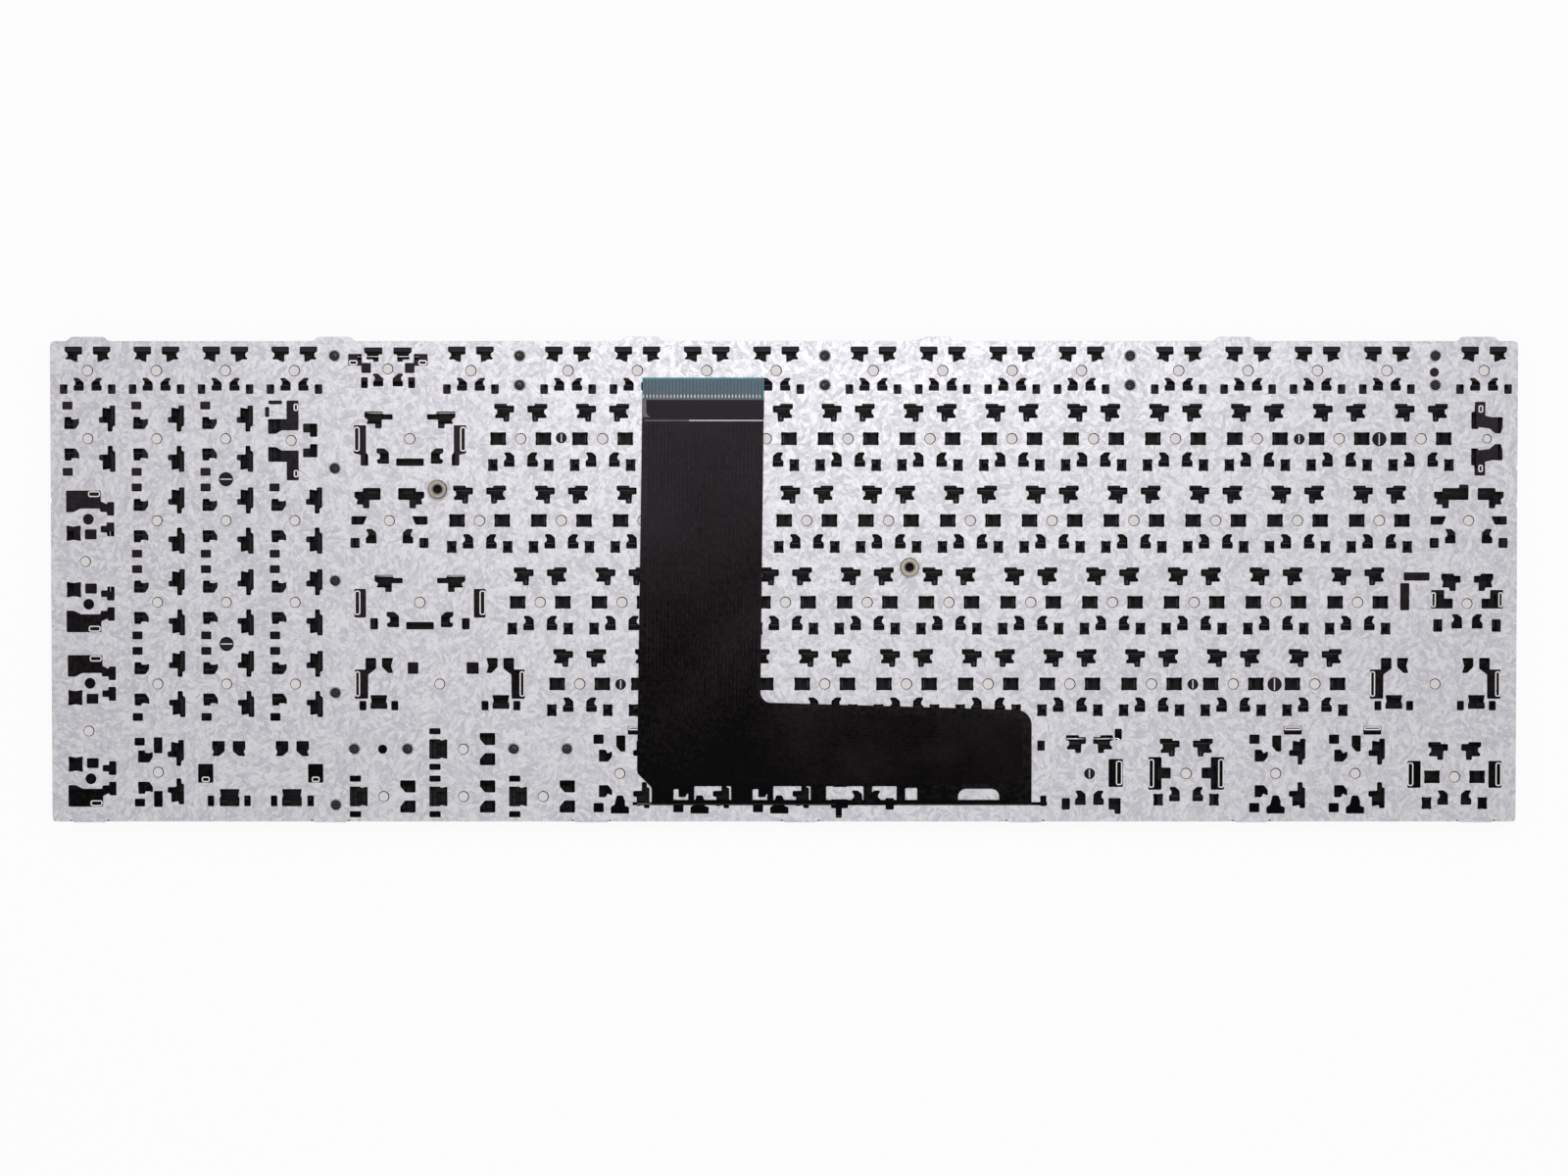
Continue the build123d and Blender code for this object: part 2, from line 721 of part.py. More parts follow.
def link(key):
    """One folding link about the origin: two crossed side arms and the bars under the cap."""
    reach = link_reach(key)
    half = link_length(key) / 2
    low, high, thick = z_link_low, z_link_high, link_thickness
    falling = [(-reach, low), (-reach, low + thick), (reach, high), (reach, high - thick)]
    rising = [(-y, z) for y, z in falling]
    pieces = []
    for x in (-half, half - link_side):
        for arm in (falling, rising):
            wire = Wire.make_polygon([(x, y, z) for y, z in arm], close=True)
            pieces.append(Solid.extrude(Face(wire), Vector(link_side, 0, 0)))
    for y in (-reach, reach - link_bar):
        pieces.append(block(-half, half, y, y + link_bar, low, low + thick))
    solid = pieces[0].fuse(*pieces[1:])
    return Rotation(0, 0, -90) * solid if key.kind in TURNED else solid


def dome(key):
    """One rubber dome about the origin, turned from its half section."""
    radius = dome_radius(key)
    low = cap_top + link_clearance / 2
    nib = low + dome_nib_length
    section = [
        (0, low), (dome_nib_radius, low), (dome_nib_radius, nib),
        (radius - dome_wall, z_film - dome_flange), (radius, z_film - dome_flange), (radius, z_film),
        (radius - 2 * dome_wall, z_film), (dome_nib_radius - dome_wall / 2, nib + dome_wall),
        (0, nib + dome_wall),
    ]
    face = Face(Wire.make_polygon([(r, 0, z) for r, z in section], close=True))
    return Solid.revolve(face, 360, Axis.Z)


def wire_half(key):
    """From the middle of a long cap to the leg of its wire."""
    return along_across(key)[0] / 2 - cap_wall - wire_gap - wire_diameter


def stabiliser_wire(key):
    """Bent wire: the bar under the cap, two legs towards the plate and two short feet."""
    across = along_across(key)[1]
    radius = wire_diameter / 2
    half = wire_half(key)
    bar_z, foot_z = wire_heights()
    bar_y = across / 2 - cap_wall - wire_gap - wire_play(key) - radius
    foot_y = bar_y - wire_leg_run
    ends = [(-half + wire_foot, foot_y, foot_z), (-half, foot_y, foot_z), (-half, bar_y, bar_z)]
    points = ends + [(-x, y, z) for x, y, z in reversed(ends)]
    path = FilletPolyline(*points, radius=[wire_foot_bend, wire_bend, wire_bend, wire_foot_bend])
    section = Plane(points[0], z_dir=(-1, 0, 0)) * Circle(radius)
    solid = sweep(section, path=path).solid()
    if key.kind in TURNED:
        solid = Rotation(0, 0, -90) * solid
    return Location((key.x, key.y, 0)) * solid


def placed(make, key, x, y, made):
    """A copy at (x, y) of the piece that suits this key; like keys share one model."""
    size = (round(key.w, 4), round(key.d, 4), key.kind)
    if size not in made:
        made[size] = make(key)
    return Location((x, y, 0)) * made[size]


def save(name, solids):
    shape = solids[0] if len(solids) == 1 else Compound(children=list(solids))
    export_step(shape, "parts/" + name + ".step")


os.makedirs("parts", exist_ok=True)

save("back_plate", [back_plate()])
save("threaded_standoffs", threaded_standoffs())
save("lower_circuit_film", [lower_circuit_film()])
save("spacer_film", [film(z_film + film_thickness, standoff_film_gap)])
save("upper_circuit_film", [film(z_film, standoff_film_gap)])
save("tail_stiffener", [tail_stiffener()])
save("bezel_frame", [bezel_frame()])

made_links = {}
made_domes = {}
made_caps = {}
links = [placed(link, key, x, y, made_links) for key in keys for x, y in link_places(key)]
domes = [placed(dome, key, *dome_place(key), made_domes) for key in keys]
caps = {key: placed(cap, key, key.x, key.y, made_caps) for key in keys}
wires = {key: stabiliser_wire(key) for key in keys if key.kind in WIRED}

save("folding_links", links)
save("rubber_domes", domes)
save("stabiliser_wires", [wire for key, wire in wires.items() if key.kind != "space"])
save("space_wire", [wire for key, wire in wires.items() if key.kind == "space"])
for group, name in (("function", "function_row_caps"), ("pad", "number_pad_caps"), ("edge", "edge_caps")):
    save(name, [solid for key, solid in caps.items() if key.group == group])
for key, solid in caps.items():
    if key.group is None:
        save("key_" + key.name, [solid])
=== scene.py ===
# %% [markdown]
# # A laptop keyboard, seen from behind
# A spare keyboard lies face down on a pale table. Its back is a thin zinc-coated steel sheet, punched
# with hundreds of slots that hold the folding links of the keys. A black film tail comes out through
# a slit near the lower edge, folds over and lies on the sheet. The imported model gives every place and
# size. This lesson dresses it: it models what the eye sees on the back and gives each part its finish.

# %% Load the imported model
import math
from collections import namedtuple

import bmesh
import bpy
from mathutils import Matrix, Vector


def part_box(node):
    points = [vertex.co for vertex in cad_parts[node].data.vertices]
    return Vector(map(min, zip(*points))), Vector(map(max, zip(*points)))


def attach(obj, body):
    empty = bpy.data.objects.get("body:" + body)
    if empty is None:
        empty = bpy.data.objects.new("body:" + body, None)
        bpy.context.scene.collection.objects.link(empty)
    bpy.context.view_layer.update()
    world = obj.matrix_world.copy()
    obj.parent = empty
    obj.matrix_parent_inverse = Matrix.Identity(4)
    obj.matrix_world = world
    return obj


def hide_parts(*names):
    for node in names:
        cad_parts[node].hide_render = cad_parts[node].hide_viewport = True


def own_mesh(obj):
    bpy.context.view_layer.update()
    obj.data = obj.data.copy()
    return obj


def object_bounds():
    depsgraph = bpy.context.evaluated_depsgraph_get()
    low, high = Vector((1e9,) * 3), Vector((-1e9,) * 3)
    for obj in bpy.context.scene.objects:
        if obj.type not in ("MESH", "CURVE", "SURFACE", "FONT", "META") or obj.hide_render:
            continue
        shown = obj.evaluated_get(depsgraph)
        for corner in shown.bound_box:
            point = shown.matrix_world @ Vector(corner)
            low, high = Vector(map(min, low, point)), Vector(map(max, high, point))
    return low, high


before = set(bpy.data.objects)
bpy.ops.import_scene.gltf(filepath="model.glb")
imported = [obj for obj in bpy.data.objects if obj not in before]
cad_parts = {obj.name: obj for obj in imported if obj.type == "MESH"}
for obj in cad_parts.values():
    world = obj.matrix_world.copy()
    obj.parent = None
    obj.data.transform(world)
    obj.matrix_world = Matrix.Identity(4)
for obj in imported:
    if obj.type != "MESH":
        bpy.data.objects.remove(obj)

MM = 0.001
scene = bpy.context.scene
cad_low, cad_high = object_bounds()
plate_low, plate_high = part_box("back_plate")
Z_PLATE = plate_low.z
Z_BACK = plate_high.z
print("CAD box in mm:", [round(v / MM, 2) for v in cad_high - cad_low])

# %% [markdown]
# ## Camera, table and light
# The photograph looks straight down on the sheet, from a little towards its upper edge, through a
# long lens. A camera with no rotation looks down with +Y up in the picture, so it only needs its
# place and a small tilt. The table is white for the camera and for reflections, but keeps part of
# its own shading, so the keyboard still has a soft shadow to stand on.
# One soft lamp hangs beyond the upper edge, so the sheet is brightest there and darkens downwards.

# %% Camera
PHOTO_WIDTH = 364.4 * MM
VIEW_MIDDLE = Vector((0, -1.87 * MM, Z_BACK))
VIEW_TILT = math.radians(1.9)
LENS = 100.0
SENSOR = 36.0


def link_to_scene(thing):
    scene.collection.objects.link(thing)
    return thing


def add_camera():
    data = bpy.data.cameras.new("camera")
    data.lens = LENS
    data.sensor_width = SENSOR
    camera = link_to_scene(bpy.data.objects.new("camera", data))
    distance = PHOTO_WIDTH * LENS / SENSOR
    camera.location = VIEW_MIDDLE + distance * Vector((0, math.sin(VIEW_TILT), math.cos(VIEW_TILT)))
    camera.rotation_euler = (-VIEW_TILT, 0, 0)
    scene.camera = camera
    return distance


print("camera distance in m:", round(add_camera(), 3))

# %% Light
SKY = 0.5
LAMP_PLACE = (0.02, 0.20, 0.55)
LAMP_SIZE = 0.20
LAMP_POWER = 1.0


def add(tree, kind, values=None, **settings):
    """A shader node with its settings and the values of its sockets."""
    node = tree.nodes.new("ShaderNode" + kind)
    for name, value in settings.items():
        setattr(node, name, value)
    for name, value in (values or {}).items():
        node.inputs[name].default_value = value
    return node


def seen_directly(tree):
    """1 for camera, glossy and transmission rays, 0 for the light that falls on things."""
    path = add(tree, "LightPath")
    either = add(tree, "Math", operation="MAXIMUM")
    tree.links.new(path.outputs["Is Camera Ray"], either.inputs[0])
    tree.links.new(path.outputs["Is Glossy Ray"], either.inputs[1])
    any_of = add(tree, "Math", operation="MAXIMUM")
    tree.links.new(either.outputs[0], any_of.inputs[0])
    tree.links.new(path.outputs["Is Transmission Ray"], any_of.inputs[1])
    return any_of.outputs[0]


def light_the_studio():
    world = bpy.data.worlds.new("studio")
    world.use_nodes = True
    scene.world = world
    tree = world.node_tree
    strength = add(tree, "Math", {1: 1.0 - SKY, 2: SKY}, operation="MULTIPLY_ADD")
    tree.links.new(seen_directly(tree), strength.inputs[0])
    tree.links.new(strength.outputs[0], tree.nodes["Background"].inputs["Strength"])
    tree.nodes["Background"].inputs["Color"].default_value = (1, 1, 1, 1)


def add_lamp(name, place, size, power):
    data = bpy.data.lights.new(name, "AREA")
    data.size = size
    data.energy = power
    lamp = link_to_scene(bpy.data.objects.new(name, data))
    lamp.location = place
    lamp.rotation_euler = (-Vector(place)).to_track_quat("-Z", "Y").to_euler()


light_the_studio()
add_lamp("softbox", LAMP_PLACE, LAMP_SIZE, LAMP_POWER)
scene.view_settings.view_transform = "Standard"

# %% Table
TABLE_HALF = 1.5
TABLE_DROP = 0.02 * MM
TABLE_GLOW = 0.94


def add_table():
    material = bpy.data.materials.new("white table")
    material.use_nodes = True
    tree = material.node_tree
    tree.nodes["Principled BSDF"].inputs["Base Color"].default_value = (0.90, 0.90, 0.90, 1)
    tree.nodes["Principled BSDF"].inputs["Roughness"].default_value = 0.7
    glow = add(tree, "Emission", {"Color": (1, 1, 1, 1), "Strength": 1.0})
    share = add(tree, "Math", {1: TABLE_GLOW}, operation="MULTIPLY")
    blend = add(tree, "MixShader")
    tree.links.new(seen_directly(tree), share.inputs[0])
    tree.links.new(share.outputs[0], blend.inputs[0])
    tree.links.new(tree.nodes["Principled BSDF"].outputs[0], blend.inputs[1])
    tree.links.new(glow.outputs[0], blend.inputs[2])
    tree.links.new(blend.outputs[0], tree.nodes["Material Output"].inputs["Surface"])
    bm = bmesh.new()
    bmesh.ops.create_grid(bm, x_segments=1, y_segments=1, size=TABLE_HALF)
    bmesh.ops.translate(bm, verts=bm.verts, vec=(0, 0, -TABLE_DROP))
    mesh = bpy.data.meshes.new("table")
    bm.to_mesh(mesh)
    bm.free()
    mesh.materials.append(material)
    link_to_scene(bpy.data.objects.new("table", mesh))


add_table()
print("table half width in m:", TABLE_HALF)

# %% [markdown]
# ## Finishes
# Two effects are shared. The first is the spangle of hot-dip zinc: grains a few millimetres wide, each
# with its own direction, made of small shards of even tone. A coarse Voronoi texture gives the grains,
# and its random cell colour turns the coordinates of two finer ones, which are drawn out into shards.
# Smooth noise would look like clouds, because zinc has crisp edges. The second is the fine grain of
# moulded plastic, film and turned metal: a broad mottling for the tone and a fine noise for the bump.

# %% Shared shader groups


def node_group(name, inputs, outputs):
    group = bpy.data.node_groups.new(name, "ShaderNodeTree")
    for label, value in inputs.items():
        socket = group.interface.new_socket(name=label, in_out="INPUT", socket_type="NodeSocketFloat")
        socket.default_value = value
    for label in outputs:
        group.interface.new_socket(name=label, in_out="OUTPUT", socket_type="NodeSocketFloat")
    return group, group.nodes.new("NodeGroupInput"), group.nodes.new("NodeGroupOutput")


def blend_values(tree, first, second, share):
    mix = add(tree, "Mix", {"Factor": share})
    tree.links.new(first, mix.inputs["A"])
    tree.links.new(second, mix.inputs["B"])
    return mix.outputs["Result"]


def zinc_spangle_group():
    """Grains with their own direction, each made of drawn-out shards of even tone."""
    given_values = {"Grains": 260.0, "Shards": 900.0, "Chips": 1900.0}
    tree, given, result = node_group("zinc spangle", given_values, ["Tone", "Relief"])
    place = add(tree, "TexCoord").outputs["Object"]
    wander = add(tree, "TexNoise", {"Scale": 2200.0, "Detail": 2.0})
    tree.links.new(place, wander.inputs["Vector"])
    ragged = add(tree, "VectorMath", {1: (0.0005, 0.0005, 0.0)}, operation="MULTIPLY_ADD")
    tree.links.new(wander.outputs["Color"], ragged.inputs[0])
    tree.links.new(place, ragged.inputs[2])
    grains = add(tree, "TexVoronoi")
    tree.links.new(ragged.outputs[0], grains.inputs["Vector"])
    tree.links.new(given.outputs["Grains"], grains.inputs["Scale"])
    split = add(tree, "SeparateColor")
    tree.links.new(grains.outputs["Color"], split.inputs[0])
    angle = add(tree, "Math", {1: 2 * math.pi}, operation="MULTIPLY")
    tree.links.new(split.outputs["Green"], angle.inputs[0])
    turned_way = add(tree, "VectorRotate", rotation_type="Z_AXIS")
    tree.links.new(ragged.outputs[0], turned_way.inputs["Vector"])
    tree.links.new(angle.outputs[0], turned_way.inputs["Angle"])
    drawn_out = add(tree, "VectorMath", {1: (1.0, 1.6, 1.0)}, operation="MULTIPLY")
    tree.links.new(turned_way.outputs[0], drawn_out.inputs[0])
    tones = []
    for label in ("Shards", "Chips"):
        cells = add(tree, "TexVoronoi")
        tree.links.new(drawn_out.outputs[0], cells.inputs["Vector"])
        tree.links.new(given.outputs[label], cells.inputs["Scale"])
        tone = add(tree, "SeparateColor")
        tree.links.new(cells.outputs["Color"], tone.inputs[0])
        tones.append(tone.outputs["Red"])
    shards = blend_values(tree, tones[0], tones[1], 0.4)
    tree.links.new(blend_values(tree, shards, wander.outputs["Fac"], 0.35), result.inputs["Tone"])
    tree.links.new(wander.outputs["Fac"], result.inputs["Relief"])
    return tree


def fine_grain_group():
    tree, given, result = node_group("fine grain", {"Grain": 3000.0, "Clouds": 60.0}, ["Tone", "Relief"])
    place = add(tree, "TexCoord").outputs["Object"]
    grain = add(tree, "TexNoise", {"Detail": 2.0})
    clouds = add(tree, "TexNoise", {"Detail": 4.0, "Roughness": 0.6})
    for texture, label in ((grain, "Grain"), (clouds, "Clouds")):
        tree.links.new(place, texture.inputs["Vector"])
        tree.links.new(given.outputs[label], texture.inputs["Scale"])
    tone = blend_values(tree, grain.outputs["Fac"], clouds.outputs["Fac"], 0.6)
    tree.links.new(tone, result.inputs["Tone"])
    tree.links.new(grain.outputs["Fac"], result.inputs["Relief"])
    return tree


SPANGLE = zinc_spangle_group()
GRAIN = fine_grain_group()
print("shader groups:", [g.name for g in bpy.data.node_groups])

# %% Materials


def finish(name, dark, light, rough, relief, group, values, metallic=0.0, specular=0.5):
    """A material whose tone runs from dark to light and whose gloss and bump follow one group."""
    material = bpy.data.materials.new(name)
    material.use_nodes = True
    tree = material.node_tree
    shader = tree.nodes["Principled BSDF"]
    effect = add(tree, "Group", node_tree=group)
    for label, value in values.items():
        effect.inputs[label].default_value = value
    colour = add(tree, "ValToRGB")
    colour.color_ramp.elements[0].position = 0.3
    colour.color_ramp.elements[1].position = 0.7
    colour.color_ramp.elements[0].color = (*dark, 1)
    colour.color_ramp.elements[1].color = (*light, 1)
    tree.links.new(effect.outputs["Tone"], colour.inputs[0])
    tree.links.new(colour.outputs[0], shader.inputs["Base Color"])
    gloss = add(tree, "MapRange", {"From Min": 0.3, "From Max": 0.7, "To Min": rough[0], "To Max": rough[1]})
    tree.links.new(effect.outputs["Tone"], gloss.inputs["Value"])
    tree.links.new(gloss.outputs[0], shader.inputs["Roughness"])
    bump = add(tree, "Bump", {"Strength": 0.5, "Distance": relief})
    tree.links.new(effect.outputs["Relief"], bump.inputs["Height"])
    tree.links.new(bump.outputs[0], shader.inputs["Normal"])
    shader.inputs["Metallic"].default_value = metallic
    shader.inputs["Specular IOR Level"].default_value = specular
    return material


FINE = {"Grain": 3000.0, "Clouds": 60.0}
COARSE = {"Grain": 1800.0, "Clouds": 40.0}
SOFT = {"Grain": 900.0, "Clouds": 25.0}
zinc = finish("zinc sheet", (0.45, 0.44, 0.475), (0.64, 0.63, 0.665), (0.46, 0.38), 0.006 * MM,
              SPANGLE, {"Grains": 220.0, "Shards": 680.0, "Chips": 1500.0}, metallic=0.6)
nickel = finish("nickel plate", (0.20, 0.175, 0.15), (0.40, 0.36, 0.31), (0.34, 0.26), 0.010 * MM,
                GRAIN, COARSE, metallic=1.0)
# A darker copy of the nickel for the standoff chamfers: painted shade on the rims.
nickel_painted_shade = finish("nickel edge", (0.05, 0.04, 0.035), (0.10, 0.08, 0.065), (0.40, 0.30), 0.004 * MM,
                     GRAIN, COARSE, metallic=1.0)
steel = finish("bright steel", (0.62, 0.60, 0.60), (0.80, 0.78, 0.78), (0.34, 0.22), 0.004 * MM,
               GRAIN, FINE, metallic=1.0)
film_black = finish("printed film", (0.001, 0.0008, 0.0008), (0.036, 0.028, 0.033), (0.46, 0.36), 0.010 * MM,
                    GRAIN, SOFT, specular=0.03)
film_clear = finish("milky film", (0.80, 0.76, 0.76), (0.88, 0.84, 0.84), (0.45, 0.35), 0.004 * MM,
                    GRAIN, SOFT, specular=0.3)
film_grey = finish("grey film", (0.10, 0.095, 0.10), (0.17, 0.16, 0.165), (0.40, 0.30), 0.004 * MM,
                   GRAIN, SOFT, specular=0.3)
carbon = finish("carbon trace", (0.003, 0.0022, 0.002), (0.040, 0.032, 0.037), (0.52, 0.42), 0.004 * MM,
                GRAIN, FINE, specular=0.03)
teal = finish("teal stiffener", (0.02, 0.19, 0.26), (0.05, 0.33, 0.40), (0.35, 0.25), 0.004 * MM,
              GRAIN, COARSE, specular=0.3)
contact = finish("carbon contact", (0.065, 0.075, 0.10), (0.11, 0.12, 0.155), (0.45, 0.35), 0.004 * MM,
                 GRAIN, COARSE, specular=0.3)
# Silver ink for the contact tips; the same material paints the highlight on the line below the cover strip.
silver_ink_and_painted_highlight = finish("silver ink", (0.62, 0.62, 0.64), (0.80, 0.80, 0.82), (0.5, 0.4), 0.004 * MM,
                    GRAIN, FINE)
cover_tape = finish("cover tape", (0.011, 0.008, 0.013), (0.018, 0.014, 0.021), (0.34, 0.24), 0.006 * MM,
                    GRAIN, SOFT, specular=0.1)
link_plastic = finish("link plastic", (0.003, 0.003, 0.004), (0.008, 0.007, 0.009), (0.50, 0.38), 0.006 * MM,
                      GRAIN, FINE, specular=0.12)
# The link feet are the same plastic as the links: their slightly lighter tone is painted highlight, and their
# higher gloss is real.
foot_plastic_with_painted_highlight = finish("link foot", (0.004, 0.004, 0.006), (0.010, 0.010, 0.013), (0.36, 0.24), 0.006 * MM,
                      GRAIN, FINE, specular=0.5)
stake_plastic = finish("melted stake", (0.004, 0.004, 0.005), (0.014, 0.013, 0.015), (0.36, 0.22), 0.03 * MM,
                       GRAIN, COARSE, specular=0.3)
frame_plastic = finish("frame plastic", (0.009, 0.009, 0.010), (0.015, 0.015, 0.016), (0.62, 0.50),
                       0.012 * MM, GRAIN, FINE, specular=0.25)
key_plastic = finish("key plastic", (0.009, 0.009, 0.010), (0.015, 0.015, 0.016), (0.60, 0.48), 0.010 * MM,
                     GRAIN, FINE, specular=0.25)
rubber = finish("dome rubber", (0.52, 0.50, 0.48), (0.62, 0.60, 0.58), (0.6, 0.5), 0.006 * MM,
                GRAIN, SOFT, specular=0.4)


def paint_sheen_along_tail(material, y_fold, y_end, share):
    """Painted sheen: the tone of the film rises from the fold towards the contact end."""
    tree = material.node_tree
    ramp = next(node for node in tree.nodes if node.bl_idname == "ShaderNodeValToRGB")
    tone = ramp.inputs[0].links[0].from_socket
    axes = add(tree, "SeparateXYZ")
    tree.links.new(add(tree, "TexCoord").outputs["Object"], axes.inputs[0])
    rise = add(tree, "MapRange", {"From Min": y_fold, "From Max": y_end, "To Min": -share, "To Max": share})
    tree.links.new(axes.outputs["Y"], rise.inputs["Value"])
    total = add(tree, "Math", operation="ADD")
    tree.links.new(tone, total.inputs[0])
    tree.links.new(rise.outputs[0], total.inputs[1])
    tree.links.new(total.outputs[0], ramp.inputs[0])


# The black film and its traces get a painted sheen, lighter towards the contact end.
TAIL_SHEEN = 0.25
for material in (film_black, carbon):
    paint_sheen_along_tail(material, cad_low.y, cad_high.y, TAIL_SHEEN)
print("materials:", len(bpy.data.materials))

# %% [markdown]
# ## Where the keys are
# Every slot of the sheet belongs to a key, so the places of the keys are read from the model. A letter
# key is a node of its own. The other caps come in three groups, and each group is taken apart into
# its separate solids: a walk over the joined-up vertices finds one solid after the other.

# %% Read the places of the keys
WELD = 0.001 * MM


def separate_solids(node):
    """One bmesh for each solid of a CAD node."""
    whole = bmesh.new()
    whole.from_mesh(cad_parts[node].data)
    bmesh.ops.remove_doubles(whole, verts=whole.verts, dist=WELD)
    for vert in whole.verts:
        vert.tag = False
    solids = []
    for start in whole.verts:
        if start.tag:
            continue
        start.tag = True
        reached = [start]
        for vert in reached:
            for edge in vert.link_edges:
                other = edge.other_vert(vert)
                if not other.tag:
                    other.tag = True
                    reached.append(other)
        solid = bmesh.new()
        copies = {vert: solid.verts.new(vert.co) for vert in reached}
        for face in dict.fromkeys(face for vert in reached for face in vert.link_faces):
            solid.faces.new([copies[vert] for vert in face.verts])
        solids.append(solid)
    whole.free()
    return solids


def middle_and_size(points):
    """Middle (x, y) and size (x, y) of some points, in mm."""
    xs = [p.x / MM for p in points]
    ys = [p.y / MM for p in points]
    return (min(xs) + max(xs)) / 2, (min(ys) + max(ys)) / 2, max(xs) - min(xs), max(ys) - min(ys)


def caps_of(node):
    """Caps of a group, row by row from the top and from the right end of each row."""
    found = []
    for solid in separate_solids(node):
        found.append(middle_and_size([v.co for v in solid.verts]))
        solid.free()
    return sorted(found, key=lambda cap: (-round(cap[1]), -cap[0]))


EDGE_NAMES = """grave backspace tab backslash caps enter left_shift right_shift arrow_up left_control
fn system left_alt right_alt menu right_control arrow_left arrow_down arrow_right""".split()
PAD_NAMES = (["num_lock"] + ["pad"] * 6 + ["plus"] + ["pad"] * 6 + ["pad_enter", "zero", "point"])
LONGEST_FUNCTION_CAP = 15.0
key_places = []
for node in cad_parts:
    if node.startswith("key_"):
        x, y, w, d = middle_and_size(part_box(node))
        key_places.append(("space" if node == "key_space" else "letter", x, y))
for name, (x, y, w, d) in zip(EDGE_NAMES, caps_of("edge_caps")):
    key_places.append((name, x, y))
for name, (x, y, w, d) in zip(PAD_NAMES, caps_of("number_pad_caps")):
    key_places.append((name, x, y))
for x, y, w, d in caps_of("function_row_caps"):
    key_places.append(("delete" if w > LONGEST_FUNCTION_CAP else "function", x, y))
print("keys:", len(key_places))

# %% [markdown]
# ## The slots under the keys
# The sheet is punched with one cluster of slots per key: T-shaped slots where hooks hold the folding
# link, hooked slots where it snaps in, small windows, and a round vent over the dome. Each cluster is
# drawn once, in millimetres about the middle of its key. Most are symmetrical, so half is drawn.
# A slot's corners are rounded later, by one function.

# %% Tools for outlines
Cluster = namedtuple("Cluster", "halves mirror alone vents clips feet", defaults=((), "x", (), (), (), ()))


def box_outline(x0, x1, y0, y1):
    return [(x0, y0), (x1, y0), (x1, y1), (x0, y1)]


def waisted(x0, x1, y0, y1, bite_x, bite_y):
    """A window whose sides bow inwards."""
    xm, ym = (x0 + x1) / 2, (y0 + y1) / 2
    return [(x0, y0), (xm, y0 + bite_y), (x1, y0), (x1 - bite_x, ym),
            (x1, y1), (xm, y1 - bite_y), (x0, y1), (x0 + bite_x, ym)]


def shifted(outline, dx, dy):
    return [(x + dx, y + dy) for x, y in outline]


def mirrored(outline, mirror):
    if mirror == "x":
        return [(-x, y) for x, y in outline]
    return [(x, -y) for x, y in outline]


def both_sides(outlines, mirror):
    return list(outlines) + [mirrored(outline, mirror) for outline in outlines]


CORNER_SHARE = 0.35


def rounded(outline, radius, steps=1):
    """The outline with each corner replaced by a short curve."""
    points = []
    count = len(outline)
    for i in range(count):
        corner = Vector(outline[i])
        back = Vector(outline[i - 1]) - corner
        ahead = Vector(outline[(i + 1) % count]) - corner
        cut = min(radius, CORNER_SHARE * back.length, CORNER_SHARE * ahead.length)
        start = corner + back.normalized() * cut
        end = corner + ahead.normalized() * cut
        for step in range(steps + 1):
            t = step / steps
            points.append(start * (1 - t) ** 2 + corner * 2 * t * (1 - t) + end * t * t)
    return points


def circle(x, y, radius, count=24):
    turns = [2 * math.pi * i / count for i in range(count)]
    return [Vector((x + radius * math.cos(a), y + radius * math.sin(a))) for a in turns]


print("outline tools ready")

# %% Letter and function keys
HOOK = [(-6.1, 8.05), (-3.25, 8.05), (-3.25, 7.6), (-1.6, 7.6), (-1.6, 6.15), (-2.65, 6.1), (-2.75, 4.0),
        (-3.95, 4.0), (-4.0, 4.85), (-5.9, 4.85), (-5.9, 5.4), (-5.4, 5.8), (-5.4, 6.75), (-6.1, 7.05)]
LATCH = [(-3.75, -3.2), (-2.55, -3.2), (-1.6, -4.0), (-1.5, -6.45), (-3.9, -6.45), (-3.9, -5.2),
         (-3.35, -4.8), (-3.35, -4.05), (-3.75, -3.6)]
SMALL_WINDOW = waisted(-7.6, -5.4, -7.5, -4.75, 0.12, 0.12)
SIDE_WINDOW = waisted(-7.05, -3.45, -1.45, 1.45, 0.12, 0.08)
HOOK_FOOT = (-5.7, -1.9, 6.85, 7.1)
STEM_FOOT = (-3.6, -3.1, 4.2, 5.2)
LATCH_FOOT = (-3.6, -1.8, -5.45, -5.15)
LATCH_RIDGES = [(-3.0, -2.0, -4.5, -4.3), (-3.1, -2.3, -3.95, -3.75)]
SIDE_RIDGE = (-4.15, -3.85, -1.0, 0.9)
clusters = {}
clusters["letter"] = Cluster([HOOK, LATCH, SMALL_WINDOW, SIDE_WINDOW], vents=[(0, 0, 1.24)],
                             feet=[HOOK_FOOT, STEM_FOOT, LATCH_FOOT, SIDE_RIDGE] + LATCH_RIDGES)
FUNCTION_HOOK = [(-5.25, 5.5), (-1.3, 5.5), (-1.3, 3.8), (-2.35, 3.75), (-2.4, 2.0), (-3.4, 2.3),
                 (-3.8, 2.65), (-5.0, 2.65), (-5.0, 2.95), (-4.55, 3.25), (-4.6, 4.1), (-5.25, 4.45)]
FUNCTION_LATCH = [(-3.2, -1.75), (-2.2, -1.75), (-0.95, -2.85), (-0.95, -4.6), (-3.2, -4.6), (-3.2, -3.6),
                  (-2.8, -3.25), (-2.8, -2.4), (-3.2, -2.15)]
